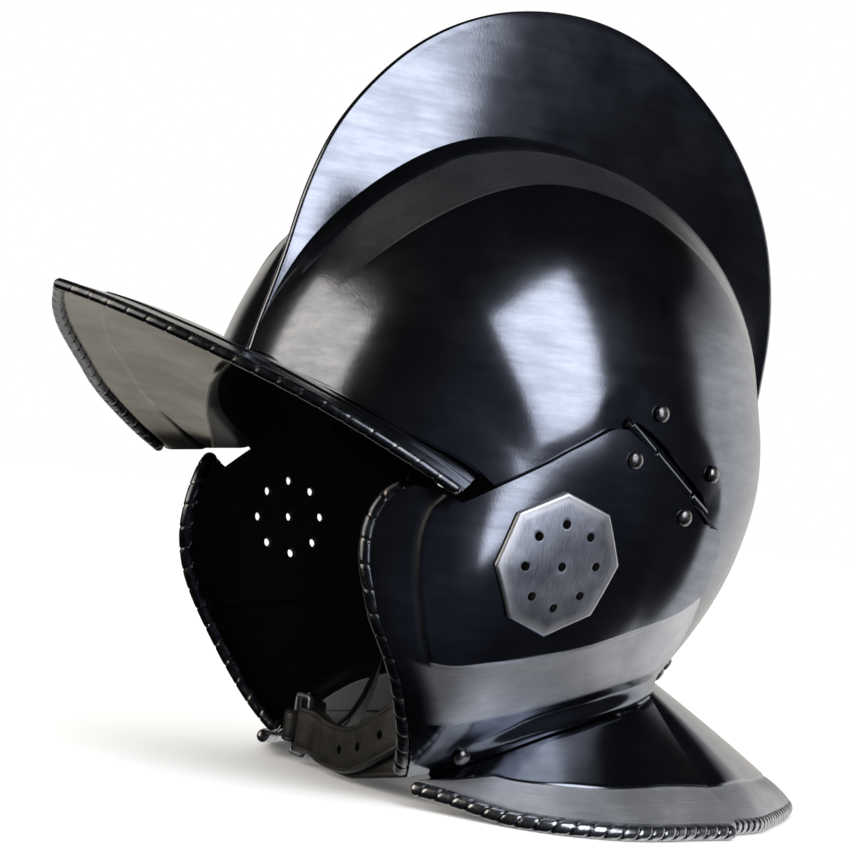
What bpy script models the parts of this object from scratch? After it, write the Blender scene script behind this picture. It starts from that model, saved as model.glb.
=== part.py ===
"""Burgonet: a close-fitting steel helmet with a tall hollow comb, a pointed peak,
hinged cheek pieces with pierced ear bosses, flared neck plates and a buckled chin strap.

Metres, +Z up. The wearer's face is at -Y and the wearer's left side at +X. The helmet stands on
the rolled rims of its neck plates, with the floor at Z = 0 and the origin under the middle.
"""
from math import atan2, cos, degrees, pi, radians, sin, sqrt

import bmesh
import bpy
import numpy as np
from mathutils import Matrix, Vector

MM = 0.001

# Plates and clearances
plate = 1.3 * MM
clearance = 0.35 * MM
panel_rise = 1.2 * MM
panel_ramp = 2.0 * MM

# Skull: an egg whose crown slopes back, measured from its own middle
skull_half_width = 106.0 * MM
brow_reach = 106.5 * MM
back_reach = 135.5 * MM
crown_rise = 127.0 * MM
nape_drop = 153.0 * MM
middle_y = -4.5 * MM
middle_height = 147.0 * MM
crown_slope = 0.13
nape_fullness = 0.036

# Comb
comb_edge_half = 1.7 * MM
comb_root_half = 9.0 * MM
comb_cove_depth = 1.6 * MM
comb_full_height = 38.0 * MM
comb_solid_edge = 5.0 * MM

# Peak
peak_reach = 188.4 * MM
peak_half_width = 124.0 * MM
peak_root_flange = 7.0 * MM
peak_roll_radius = 2.2 * MM
peak_arch = 3.0 * MM

# Cheek pieces
cheek_gap = 1.2 * MM
cheek_lap = 1.6 * MM
cheek_roll_radius = 3.2 * MM
cheek_hem_flare = 5.0 * MM
cheek_hem_height = 9.0 * MM

# Ear bosses
boss_radius = 28.0 * MM
boss_edge = 1.2 * MM
boss_dome = 1.2 * MM
boss_hole_radius = 1.8 * MM
boss_hole_margin = 0.8 * MM
boss_hole_circle = 16.2 * MM
boss_ring_holes = 8

# Neck plates
neck_flange = 9.0 * MM
rim_half_width = 116.0 * MM
rim_back = 189.4 * MM
rim_roll_radius = 3.0 * MM
collar_sag = 4.0 * MM
guard_sag = -4.0 * MM
collar_overlap = 2.6 * MM

# Hinges
hinge_knuckle_radius = 2.3 * MM
hinge_bore_radius = 1.3 * MM
hinge_pin_radius = 1.0 * MM
hinge_leaf_width = 17.0 * MM
hinge_leaf_thickness = 1.0 * MM
hinge_edge_clearance = 2.9 * MM

# Rivets
rivet_head_radius = 3.5 * MM
rivet_head_rise = 1.9 * MM
rivet_shank_radius = 1.3 * MM
rivet_hole_radius = 1.7 * MM
rivet_tail_radius = 2.3 * MM
rivet_tail = 0.9 * MM

# Chin strap
strap_width = 19.0 * MM
strap_thickness = 2.2 * MM
strap_hole_radius = 1.9 * MM
buckle_wire_radius = 1.3 * MM

SIDES = (("left", 1.0), ("right", -1.0))


def smooth(t):
    t = min(max(t, 0.0), 1.0)
    return t * t * (3 - 2 * t)


def table_value(rows, at, column):
    """Read one column of a table at a place along its first column, with smooth joins."""
    places = [row[0] for row in rows]
    at = min(max(at, places[0]), places[-1])
    i = max(k for k in range(len(rows) - 1) if places[k] <= at + 1e-9)
    p0 = rows[max(i - 1, 0)]
    p1 = rows[i]
    p2 = rows[i + 1]
    p3 = rows[min(i + 2, len(rows) - 1)]
    span = p2[0] - p1[0]
    t = (at - p1[0]) / span
    slope1 = (p2[column] - p0[column]) / (p2[0] - p0[0])
    slope2 = (p3[column] - p1[column]) / (p3[0] - p1[0])
    return ((2 * t**3 - 3 * t**2 + 1) * p1[column] + (t**3 - 2 * t**2 + t) * span * slope1
            + (3 * t**2 - 2 * t**3) * p2[column] + (t**3 - t**2) * span * slope2)


def along(points, share):
    """A point at a share of the way along a smooth curve through points."""
    rows = [(0.0, *points[0])]
    for before, after in zip(points, points[1:]):
        step = sqrt(sum((b - a) ** 2 for a, b in zip(before, after)))
        rows.append((rows[-1][0] + step, *after))
    at = share * rows[-1][0]
    return tuple(table_value(rows, at, k + 1) for k in range(len(points[0])))


# Skull shares
# A place on the skull is a pair of shares: how far forward (-) or back (+) of the middle it is,
# as a share of brow_reach or back_reach, and how far above (+) or below (-) it, as a share of
# crown_rise or nape_drop. On the outline of the skull seen from the side their squares add to 1.


def side_view(share_y, share_z):
    """World Y and Z of a place on the skull."""
    y = share_y * (brow_reach if share_y < 0 else back_reach)
    z = share_z * (crown_rise if share_z > 0 else nape_drop)
    return middle_y + y, middle_height + crown_slope * y + z


def skull_shares(y, z):
    dy = y - middle_y
    dz = z - middle_height - crown_slope * dy
    return (dy / (brow_reach if dy < 0 else back_reach),
            dz / (crown_rise if dz > 0 else nape_drop))


def fullness(share_y, share_z):
    """How much fuller than an egg the skull is behind and below the ears."""
    return 1 + nape_fullness * (smooth(share_y / 0.6) * smooth((0.2 - share_z) / 0.4)
                                * smooth((share_z + 0.8) / 0.45))


def skull_point(unit):
    """World point of a direction on the unit sphere that the skull is stretched from."""
    unit = unit.normalized()
    fuller = fullness(unit.y, unit.z)
    y, z = side_view(unit.y * fuller, unit.z)
    return Vector((unit.x * skull_half_width * fuller, y, z))


def unit_from_shares(share_y, share_z):
    return Vector((sqrt(max(1 - share_y**2 - share_z**2, 0.0)), share_y, share_z))


def skull_normal(unit):
    """Outward normal of the skull at a direction on its unit sphere."""
    unit = unit.normalized()
    step = 0.002
    guide = Vector((0, 0, 1)) if abs(unit.x) > 0.5 else Vector((1, 0, 0))
    a = unit.cross(guide).normalized()
    b = unit.cross(a)
    here = skull_point(unit)
    normal = (skull_point(unit + a * step) - here).cross(skull_point(unit + b * step) - here)
    outward = here - Vector((0, middle_y, middle_height))
    return normal.normalized() * (1 if normal.dot(outward) > 0 else -1)


# Curves on the skull, as (share_y, share_z)
brow_line = ((-0.960, 0.280), (-0.925, 0.225), (-0.860, 0.178), (-0.800, 0.136), (-0.727, 0.082),
             (-0.591, 0.015), (-0.471, -0.037), (-0.385, -0.090))
side_edge = ((-0.385, -0.090), (-0.260, -0.110), (-0.120, -0.075), (0.000, 0.000), (0.060, 0.075),
             (0.120, 0.083), (0.280, -0.030), (0.430, -0.145), (0.455, -0.230), (0.465, -0.330),
             (0.480, -0.450), (0.470, -0.570), (0.440, -0.685))
neck_line_back = ((0.745, -0.667), (0.660, -0.668), (0.550, -0.674), (0.440, -0.685))

# The comb's outline, as (degrees round the middle from straight ahead, over the top,
# height above the skull as a share of crown_rise)
comb_outline = ((14, 0.000), (26, 0.014), (34, 0.038), (40, 0.072), (48, 0.132), (56, 0.198),
                (66, 0.270), (78, 0.352), (92, 0.427), (104, 0.467), (116, 0.468), (130, 0.430),
                (143, 0.373), (154, 0.300), (165, 0.218), (176, 0.140), (188, 0.065), (199, 0.015),
                (208, 0.000), (225, 0.000))

# Where the comb's cove and the raised panel start, as (share of the way from brow to nape,
# half width of the cove, half width of the panel's edge), widths as shares of skull_half_width
skull_bands = ((0.00, 0.060, 0.160), (0.12, 0.160, 0.360), (0.22, 0.240, 0.480),
               (0.34, 0.340, 0.560), (0.46, 0.430, 0.625), (0.60, 0.500, 0.645),
               (0.72, 0.530, 0.640), (0.84, 0.470, 0.560), (0.93, 0.330, 0.440), (1.00, 0.180, 0.290))


def band_half(share, column):
    return table_value(skull_bands, share, column) * skull_half_width


def angle_round_middle(share_y, share_z):
    """Degrees round the skull's middle, from straight ahead and over the top."""
    y, z = side_view(share_y, share_z)
    return degrees(atan2(z - middle_height, middle_y - y)) % 360


middle_angles = (angle_round_middle(*brow_line[0]), angle_round_middle(*neck_line_back[0]))


def comb_angle(share):
    """Angle round the middle at a share of the way from the brow to the nape."""
    return middle_angles[0] + (middle_angles[1] - middle_angles[0]) * share


def median_unit(share):
    """Unit direction on the skull's middle line, seen from the side."""
    angle = comb_angle(share) * pi / 180
    ray_y = -cos(angle)
    ray_z = sin(angle)
    dy = ray_y / (brow_reach if ray_y < 0 else back_reach)
    raised = ray_z - crown_slope * ray_y
    dz = raised / (crown_rise if raised > 0 else nape_drop)
    return Vector((0, dy, dz)).normalized()


def blend_units(a, b, t):
    return (a * (1 - t) + b * t).normalized()


def skull_patch(share, drop):
    """Unit direction at a share from brow to nape and a drop from the middle line to the edge."""
    top = median_unit(share)
    bottom = unit_from_shares(*along(side_edge, share))
    front = unit_from_shares(*along(brow_line, drop))
    back = unit_from_shares(*along(neck_line_back, drop))
    corner_a = median_unit(0.0)
    corner_b = unit_from_shares(*side_edge[0])
    corner_c = median_unit(1.0)
    corner_d = unit_from_shares(*side_edge[-1])
    mix = (top * (1 - drop) + bottom * drop + front * (1 - share) + back * share
           - corner_a * (1 - share) * (1 - drop) - corner_b * (1 - share) * drop
           - corner_c * share * (1 - drop) - corner_d * share * drop)
    return mix.normalized()


def drop_at_half(share, half):
    """The drop at which the skull has a given half width."""
    low, high = 0.0, 1.0
    for _ in range(30):
        mid = (low + high) / 2
        if skull_point(skull_patch(share, mid)).x < half:
            low = mid
        else:
            high = mid
    return (low + high) / 2


def comb_height(share):
    return table_value(comb_outline, comb_angle(share), 1) * crown_rise


# Meshes


def new_object(name, bm, collection, material):
    mesh = bpy.data.meshes.new(name)
    bm.to_mesh(mesh)
    bm.free()
    mesh.materials.append(material)
    mesh.shade_smooth()
    mesh.set_sharp_from_angle(angle=0.6)
    item = bpy.data.objects.new(name, mesh)
    collection.objects.link(item)
    return item


def material(name, colour, roughness, metallic):
    mat = bpy.data.materials.new(name)
    mat.use_nodes = True
    shader = mat.node_tree.nodes["Principled BSDF"]
    shader.inputs["Base Color"].default_value = (*colour, 1.0)
    shader.inputs["Roughness"].default_value = roughness
    shader.inputs["Metallic"].default_value = metallic
    mat.diffuse_color = (*colour, 1.0)
    return mat


def loft_plate(outer, inner, roll=None):
    """Close a plate from its outer and inner rows of points, with an optional rolled edge.

    Each is a list of sections; a section runs across the plate, towards the rolled edge.
    """
    bm = bmesh.new()
    count = len(outer[0])
    curl = len(roll[0]) if roll else 0
    rings = []
    for s in range(len(outer)):
        loop = list(outer[s]) + (list(roll[s]) if roll else []) + list(reversed(inner[s]))
        rings.append([bm.verts.new(p) for p in loop])
    size = len(rings[0])
    for ring, after in zip(rings, rings[1:]):
        for j in range(size):
            k = (j + 1) % size
            bm.faces.new((ring[j], ring[k], after[k], after[j]))
    for ring in (rings[0], rings[-1]):
        for j in range(count - 1):
            bm.faces.new((ring[j], ring[j + 1], ring[size - 2 - j], ring[size - 1 - j]))
        if curl:
            bm.faces.new([ring[count - 1 + j] for j in range(curl + 2)])
    bmesh.ops.recalc_face_normals(bm, faces=bm.faces)
    return bm


def roll_points(edge_outer, edge_inner, inward, radius, count):
    """Points round a rolled edge, from the plate's outer face to its inner face."""
    middle = (edge_outer + edge_inner) / 2
    across = (edge_outer - edge_inner).normalized()
    ahead = -(inward - across * inward.dot(across)).normalized()
    centre = middle + ahead * radius * 0.75 - across * (radius - plate / 2)
    start = 0.42 * pi
    finish = -1.18 * pi
    return [centre + (ahead * cos(a) + across * sin(a)) * radius
            for a in (start + (finish - start) * k / (count - 1) for k in range(count))]


def mirrored(points):
    return [[Vector((-p.x, p.y, p.z)) for p in row] for row in points]


def normals_of(grid):
    """Normals of a grid of points, from its neighbours."""
    rows = len(grid)
    cols = len(grid[0])
    out = []
    for i in range(rows):
        line = []
        for j in range(cols):
            a = grid[min(i + 1, rows - 1)][j] - grid[max(i - 1, 0)][j]
            b = grid[i][min(j + 1, cols - 1)] - grid[i][max(j - 1, 0)]
            line.append(a.cross(b).normalized())
        out.append(line)
    return out


def join_solids(main, others, operation="UNION"):
    """Union or cut solids into one, and remove what was joined on."""
    for other in others:
        mod = main.modifiers.new("join", "BOOLEAN")
        mod.operation = operation
        mod.object = other
    graph = bpy.context.evaluated_depsgraph_get()
    mesh = bpy.data.meshes.new_from_object(main.evaluated_get(graph))
    main.modifiers.clear()
    old = main.data
    main.data = mesh
    mesh.name = old.name
    for other in others:
        if operation == "UNION":
            bpy.data.objects.remove(other)
    return main


# Skull

skull_stations = 25


def skull_half_section(share):
    """Outer and inner points of one half section, from the comb's edge to the side edge."""
    middle = skull_point(median_unit(share))
    up = Vector((0, middle.y - middle_y, middle.z - middle_height)).normalized()
    height = comb_height(share)
    root = comb_root_half * smooth(height / comb_full_height) + comb_edge_half
    cove = max(band_half(share, 1), root * 1.6)
    edge = max(band_half(share, 2), cove + 6 * MM)
    root_unit = skull_patch(share, drop_at_half(share, root))
    root_point = skull_point(root_unit)
    crest = middle + up * height
    half_edge = min(comb_edge_half, root)
    side = crest - up * half_edge * 0.6
    side.x = half_edge
    flank = side.lerp(root_point, 0.5)
    flank.x = half_edge + (root_point.x - half_edge) * 0.38
    outer = [crest, side, flank, root_point]
    inner = [crest - up * min(comb_solid_edge, height * 0.6 + plate)]
    inner.append(inner[0] + Vector((0.3 * MM, 0, 0)) - up * plate * 0.3)
    inner.append(flank - Vector((plate, 0, 0)))
    inner[2].x = max(inner[2].x, 0.6 * MM)
    inner.append(root_point - Vector((plate * 0.8, 0, 0)) - up * plate * 0.9)
    inner[3].x = max(inner[3].x, 0.9 * MM)
    cove_drop = drop_at_half(share, cove)
    root_drop = drop_at_half(share, root)
    hollow = comb_cove_depth * smooth(height / (0.10 * crown_rise))
    sunk = skull_patch(share, (cove_drop + root_drop) / 2)
    rows = [(sunk, -hollow), (skull_patch(share, cove_drop), 0.0)]
    edge_drop = drop_at_half(share, edge)
    ramp = panel_ramp / (skull_half_width * 1.7)
    rise = panel_rise * smooth((share - 0.10) / 0.10)
    rows.append((skull_patch(share, edge_drop), 0.0))
    rows.append((skull_patch(share, edge_drop + ramp), rise))
    below = 6
    for k in range(1, below + 1):
        drop = edge_drop + ramp + (1 - edge_drop - ramp) * k / below
        fade = 1.0 if k < below else 0.0
        rows.append((skull_patch(share, drop), rise * fade))
    for unit, lift in rows:
        normal = skull_normal(unit)
        point = skull_point(unit) + normal * lift
        outer.append(point)
        inner.append(point - normal * plate)
    return outer, inner


def build_skull(collection, steel):
    outer, inner = [], []
    for s in range(skull_stations + 1):
        half_out, half_in = skull_half_section(s / skull_stations)
        left_out = [Vector((-p.x, p.y, p.z)) for p in reversed(half_out[1:])]
        left_in = [Vector((-p.x, p.y, p.z)) for p in reversed(half_in[1:])]
        outer.append(left_out + half_out)
        inner.append(left_in + half_in)
    bm = loft_plate(outer, inner)
    return new_object("skull", bm, collection, steel)


# Cheek pieces
# The cheek follows the skull where it covers it and is fuller below and in front, where its
# section is a rounder square than the skull's: the table gives the power of its outline.

cheek_fullness = ((-0.95, 2.22), (-0.85, 2.27), (-0.66, 2.35), (-0.45, 2.50), (-0.30, 2.50),
                  (-0.05, 2.08), (0.30, 2.00))

# The cheek's outline seen from the side, as (share across from the back, share_y, share_z)
cheek_top = ((0.00, 0.430, -0.200), (0.30, 0.062, 0.066), (0.34, 0.020, 0.070), (0.52, -0.119, 0.015),
             (0.62, -0.220, -0.024), (0.74, -0.397, -0.084), (0.82, -0.516, -0.127),
             (0.92, -0.600, -0.096), (1.00, -0.655, -0.085))
cheek_back = ((0.430, -0.200), (0.460, -0.245), (0.485, -0.295), (0.508, -0.338), (0.530, -0.400))
cheek_back_low = ((0.530, -0.400), (0.548, -0.470), (0.552, -0.570), (0.545, -0.690))
cheek_front = ((-0.655, -0.085), (-0.712, -0.116), (-0.746, -0.165), (-0.760, -0.216),
               (-0.757, -0.288), (-0.723, -0.376), (-0.692, -0.431), (-0.650, -0.485))
cheek_front_low = ((-0.650, -0.485), (-0.560, -0.590), (-0.480, -0.690), (-0.412, -0.771),
                   (-0.362, -0.828), (-0.330, -0.862))
panel_line = ((0.530, -0.400), (0.422, -0.446), (0.263, -0.485), (0.080, -0.521), (-0.120, -0.535),
              (-0.300, -0.540), (-0.452, -0.541), (-0.560, -0.520), (-0.650, -0.485))
neck_line = ((0.545, -0.690), (0.350, -0.712), (0.182, -0.737), (0.091, -0.752), (0.006, -0.776),
             (-0.114, -0.810), (-0.211, -0.842), (-0.330, -0.862))

cheek_columns = (0.00, 0.11, 0.22, 0.32, 0.42, 0.52, 0.63, 0.74, 0.82, 0.87, 0.89, 1.00)
cheek_panel_columns = 10
cheek_rows_up = 6
cheek_rows_low = 4
roll_sides = 5
hidden_gap = 1.2 * MM


def cheek_half(share_y, share_z):
    """Half width over the cheek's outer face, before its panel and its flared hem."""
    power = 2 + (table_value(cheek_fullness, share_z, 1) - 2) * smooth(-share_y / 0.45)
    fuller = fullness(share_y, share_z)
    rest = max(1 - abs(share_y / fuller) ** power - abs(share_z) ** power, 0.0)
    lap = cheek_lap * smooth((share_y - 0.25) / 0.2)
    return skull_half_width * fuller * rest ** (1 / power) + plate + cheek_gap + lap


def cheek_point(share_y, share_z, lift=0.0):
    y, z = side_view(share_y, share_z)
    return Vector((cheek_half(share_y, share_z) + lift, y, z))


def outline_share(rows, at):
    """Read an outline with sharp corners at a share of the way across."""
    places = [row[0] for row in rows]
    return tuple(float(np.interp(at, places, [row[k] for row in rows])) for k in (1, 2))


def four_sided(top, bottom, back, front, u, v):
    """A place inside four curves; u runs from the back to the front and v from top to bottom."""
    t, b, f, r = top(u), bottom(u), front(v), back(v)
    return tuple(t[k] * (1 - v) + b[k] * v + r[k] * (1 - u) + f[k] * u
                 - top(0)[k] * (1 - u) * (1 - v) - top(1)[k] * u * (1 - v)
                 - bottom(0)[k] * (1 - u) * v - bottom(1)[k] * u * v for k in (0, 1))


def cheek_place(u, v, low):
    if low:
        return four_sided(lambda t: along(panel_line, t), lambda t: along(neck_line, t),
                          lambda t: along(cheek_back_low, t), lambda t: along(cheek_front_low, t), u, v)
    return four_sided(lambda t: outline_share(cheek_top, t), lambda t: along(panel_line, t),
                      lambda t: along(cheek_back, t), lambda t: along(cheek_front, t), u, v)


def hem_flare(share_along, above):
    """How far the cheek's lower hem stands out, at a height above the neck line."""
    return cheek_hem_flare * smooth((share_along - 0.02) / 0.32) * smooth(1 - above / cheek_hem_height)


def cheek_grid():
    """Outer points of the left cheek, each row from the back to the front."""
    rows = []
    for i in range(cheek_rows_up + 1):
        v = i / cheek_rows_up
        row = []
        for j, u in enumerate(cheek_columns):
            raised = panel_rise if j < cheek_panel_columns and i < cheek_rows_up else 0.0
            row.append(cheek_point(*cheek_place(u, v, False), raised))
        rows.append(row)
    ramp = [a.lerp(b, 0.12) for a, b in zip(rows[-1], rows[-2])]
    for j in range(cheek_panel_columns):
        ramp[j] = rows[-1][j].lerp(rows[-2][j] - Vector((panel_rise, 0, 0)), 0.12)
        ramp[j].x += panel_rise
    rows.insert(-1, ramp)
    for i in range(1, cheek_rows_low + 1):
        v = 1 - (1 - i / cheek_rows_low) ** 1.4
        row = []
        for u in cheek_columns:
            point = cheek_point(*cheek_place(u, v, True))
            hem = cheek_point(*cheek_place(u, 1.0, True))
            point.x += hem_flare(1 - u, point.z - hem.z)
            row.append(point)
        rows.append(row)
    return rows


def offset_rows(grid, distance):
    """Move a grid of points along its normals, towards the wearer."""
    normals = normals_of(grid)
    place = grid[len(grid) // 4][len(grid[0]) // 2]
    facing = normals[len(grid) // 4][len(grid[0]) // 2]
    outward = Vector((place.x, place.y - middle_y, 0))
    sign = 1.0 if facing.dot(outward) > 0 else -1.0
    return [[p - n * distance * sign for p, n in zip(row, line)] for row, line in zip(grid, normals)]


def build_cheek(side, sign, collection, steel):
    outer = cheek_grid()
    inner = offset_rows(outer, plate)
    roll = []
    for out_row, in_row in zip(outer, inner):
        back = (out_row[-2] - out_row[-1]).normalized()
        roll.append(roll_points(out_row[-1], in_row[-1], back, cheek_roll_radius, roll_sides))
    if sign < 0:
        outer, inner, roll = mirrored(outer), mirrored(inner), mirrored(roll)
    return new_object("cheek_" + side, loft_plate(outer, inner, roll), collection, steel)


# Neck plates

# The rim of each cheek's collar seen from above, from its front end to its back end, as
# (share along, share of rim_half_width, share of rim_back)
collar_rim = ((0.00, 0.520, -0.209), (0.08, 0.625, -0.172), (0.17, 0.745, -0.132),
              (0.27, 0.850, -0.082), (0.38, 0.930, -0.022), (0.50, 0.980, 0.055),
              (0.60, 1.000, 0.130), (0.72, 0.985, 0.225), (0.84, 0.945, 0.330), (1.00, 0.905, 0.455))
guard_rim = ((0.00, 0.855, 0.360), (0.12, 0.835, 0.450), (0.24, 0.785, 0.535), (0.36, 0.735, 0.610),
             (0.52, 0.600, 0.720), (0.68, 0.440, 0.840), (0.82, 0.270, 0.940), (0.92, 0.130, 0.985),
             (1.00, 0.000, 1.000))
collar_front_lift = 4.5 * MM
collar_start = 0.08
collar_stations = 12
guard_stations = 8
band_width = 20.0 * MM
band_step = 0.8 * MM


def cheek_hem(at):
    """A point of the cheek's lower edge; 0 is its front end."""
    point = cheek_point(*along(neck_line, 1 - at))
    point.x += hem_flare(at, 0.0)
    return point


def hem_surface(at, height):
    """A point on the cheek's outer face at a height above its lower edge."""
    share_y, share_z = along(neck_line, 1 - at)
    point = cheek_point(share_y, share_z + height / nape_drop)
    point.x += hem_flare(at, height)
    return point


def flare_rows(neck, rim, rim_height, outward, rows, hollow, under=0.0):
    """Outer points of a flared plate from below the neck to its rim, with the band's step."""
    end = Vector((rim[0], rim[1], rim_height))
    start = neck + outward * (1.2 * MM - under) - Vector((0, 0, 1.9 * MM + under * 0.6))
    length = (end - start).length
    band = max(1 - band_width / length, 0.25)
    points = [start]
    shares = [band * k / rows for k in range(1, rows + 1)] + [band + 1.5 * MM / length]
    shares += [(1 + band) / 2, 1.0]
    fall = (end - start).cross(Vector((-outward.y, outward.x, 0))).normalized()
    fall = fall if fall.z < 0 else -fall
    for k, w in enumerate(shares):
        sag = hollow * 4 * w * (1 - w) * min(length / (45 * MM), 1.0)
        drop = band_step if k >= rows else 0.0
        drop += under * (1 - w)
        drop = drop if k < len(shares) - 1 else band_step * 0.5
        points.append(start.lerp(end, w) + fall * (sag + drop))
    return points


def collar_section(along_rim, raised):
    at = collar_start + (1 - collar_start) * along_rim
    short = smooth((at - 0.70) / 0.12)
    bare = smooth((at - 0.84) / 0.10)
    hem = cheek_hem(at)
    rim_x = table_value(collar_rim, along_rim, 1) * rim_half_width
    rim_y = table_value(collar_rim, along_rim, 2) * rim_back
    rim_z = raised
    outward = Vector((rim_x - hem.x, rim_y - hem.y, 0))
    outward = Vector((1.0, 0.12, 0)).normalized() if outward.length < 8 * MM else outward.normalized()
    inside = plate + hidden_gap
    rows = []
    for height in (neck_flange, neck_flange / 2, 0.0):
        point = hem_surface(at, height * smooth(0.35 + at * 4) * (1 - short))
        tuck = inside * 1.12 * (1 - bare)
        rows.append(point - Vector((tuck, 0, (1.4 - 0.8 * height / neck_flange) * MM * short)))
    rows += flare_rows(hem, (rim_x, rim_y), rim_z, outward, 3, collar_sag)
    return rows


def rim_roll(edge_outer, edge_inner, inward):
    """Points round a rolled rim, with one level facet underneath to stand on."""
    middle = (edge_outer + edge_inner) / 2
    across = (edge_outer - edge_inner).normalized()
    ahead = -(inward - across * inward.dot(across)).normalized()
    centre = middle + ahead * rim_roll_radius * 0.75 - across * (rim_roll_radius - plate / 2)
    down = atan2(across.z, ahead.z) - pi
    down = down - 2 * pi if down > 0 else down
    start = 0.42 * pi
    finish = -1.18 * pi
    angles = (start, (start + down + pi / 6) / 2, down + pi / 6, down - pi / 6, finish)
    return [centre + (ahead * cos(a) + across * sin(a)) * rim_roll_radius for a in angles]


def rolled_rims(outer, inner):
    return [rim_roll(out_row[-1], in_row[-1], (out_row[-2] - out_row[-1]).normalized())
            for out_row, in_row in zip(outer, inner)]


def levelled(section, shares, lifts, turn_in):
    """Build a plate's sections so that each one's rolled rim stands at its own height."""
    heights = [rim_roll_radius * 2] * len(shares)
    for _ in range(3):
        outer = turn_in([section(at, height) for at, height in zip(shares, heights)])
        inner = offset_rows(outer, plate)
        roll = rolled_rims(outer, inner)
        lows = [min(p.z for p in points) for points in roll]
        heights = [h - low + lift for h, low, lift in zip(heights, lows, lifts)]
    for points, lift in zip(roll, lifts):
        for point in points:
            point.z = lift if point.z < lift + 0.05 * MM else point.z
    return outer, inner, roll


def build_collar(side, sign, collection, steel):
    shares = [k / collar_stations for k in range(collar_stations + 1)]
    lifts = [collar_front_lift * smooth(1 - at / 0.28) for at in shares]
    outer, inner, roll = levelled(collar_section, shares, lifts, lambda rows: rows)
    if sign < 0:
        outer, inner, roll = mirrored(outer), mirrored(inner), mirrored(roll)
    return new_object("collar_" + side, loft_plate(outer, inner, roll), collection, steel)


def guard_section(at, raised_rim):
    """Outer points of the neck guard; 0 is its left end and 1 the middle of the back."""
    share_y, share_z = along(neck_line_back, 1 - at)
    unit = unit_from_shares(share_y, share_z)
    if at >= 1.0:
        unit.x = 0.0
    neck = skull_point(unit)
    normal = skull_normal(unit)
    rim_x = table_value(guard_rim, at, 1) * rim_half_width
    rim_y = table_value(guard_rim, at, 2) * rim_back
    outward = Vector((rim_x - neck.x, rim_y - neck.y, 0)).normalized()
    rows = []
    for height in (neck_flange, neck_flange / 2, 0.0):
        raised = unit_from_shares(share_y, share_z + height / nape_drop)
        raised.x = 0.0 if at >= 1.0 else raised.x
        point = skull_point(raised) - normal * (plate + hidden_gap * 2.3)
        point.z = min(point.z, neck.z + height - 0.6 * MM)
        rows.append(point)
    lapped = 1 - smooth((at - 0.15) / 0.35)
    hollow = guard_sag + (collar_sag + 1.5 * MM - guard_sag) * lapped
    rows += flare_rows(neck, (rim_x, rim_y), raised_rim, outward, 3, hollow, collar_overlap * lapped)
    return rows


def build_neck_guard(collection, steel):
    shares = [1 - (1 - k / guard_stations) ** 1.6 for k in range(guard_stations + 1)]
    shares += shares[-2::-1]

    def whole(rows):
        left = rows[:guard_stations + 1]
        return left + mirrored(left[-2::-1])

    outer, inner, roll = levelled(guard_section, shares, [0.0] * len(shares), whole)
    return new_object("neck_guard", loft_plate(outer, inner, roll), collection, steel)


# Peak

# The peak's edge from its tip to its back corner, as (share along, share of peak_half_width,
# share of peak_reach, share of peak_lift above the skull's middle)
peak_edge = ((0.00, 0.000, 1.000, 1.00), (0.10, 0.105, 0.970, 0.93), (0.25, 0.255, 0.925, 0.81),
             (0.42, 0.430, 0.855, 0.63), (0.62, 0.655, 0.735, 0.33), (0.80, 0.830, 0.625, 0.03),
             (0.93, 0.950, 0.490, -0.33), (1.00, 0.985, 0.405, -0.55))
peak_lift = 37.5 * MM
peak_stations = 9
peak_band = 19.0 * MM


def brow_place(at):
    """Unit direction of the skull's brow edge; 0 is the middle and 1 the peak's end."""
    unit = unit_from_shares(*along(brow_line, 0.90 * at**1.6))
    if at <= 0.0:
        unit = Vector((0, *brow_line[0])).normalized()
    return unit


def peak_section(at):
    """Outer points across the peak; 0 is the middle and 1 its left end."""
    unit = brow_place(at)
    brow = skull_point(unit)
    normal = skull_normal(unit)
    ahead = skull_point(brow_place(min(at + 0.02, 1.0))) - skull_point(brow_place(max(at - 0.02, 0.0)))
    if at <= 0.0:
        ahead = Vector((1, 0, 0))
    below = ahead.cross(normal).normalized()
    below = below if below.z < 0 else -below
    edge = Vector((table_value(peak_edge, at, 1) * peak_half_width,
                   -table_value(peak_edge, at, 2) * peak_reach,
                   middle_height + table_value(peak_edge, at, 3) * peak_lift))
    edge.x = 0.0 if at <= 0.0 else edge.x
    inside = plate + hidden_gap * 1.6
    rows = [brow - normal * (inside + 0.25 * MM) - below * peak_root_flange,
            brow - normal * inside - below * peak_root_flange / 2,
            brow - normal * inside + below * 0.9 * MM,
            brow + normal * 0.9 * MM + below * 2.3 * MM]
    start = rows[-1]
    length = (edge - start).length
    band = 1 - peak_band / length
    for k, w in enumerate((band / 3, 2 * band / 3, band, band + 1.5 * MM / length, (1 + band) / 2, 1.0)):
        rise = peak_arch * (1 - at**4) * 4 * w * (1 - w) + (0.0 if k < 3 or k == 5 else -0.6 * MM)
        rows.append(start.lerp(edge, w) + Vector((0, 0, rise)))
    if at <= 0.0:
        for point in rows:
            point.x = 0.0
    return rows


def build_peak(collection, steel):
    left = [peak_section(k / peak_stations) for k in range(peak_stations + 1)]
    outer = [[Vector((-p.x, p.y, p.z)) for p in row] for row in reversed(left[1:])] + left
    normals = normals_of(outer)
    sign = 1.0 if normals[peak_stations][6].z > 0 else -1.0
    inner = [[p - n * plate * sign for p, n in zip(row, line)] for row, line in zip(outer, normals)]
    roll = []
    for out_row, in_row in zip(outer, inner):
        back = (out_row[-2] - out_row[-1]).normalized()
        roll.append(roll_points(out_row[-1], in_row[-1], back, peak_roll_radius, roll_sides))
    return new_object("peak", loft_plate(outer, inner, roll), collection, steel)


# Turned and round pieces

rivet_sides = 6
hole_sides = 6


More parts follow.
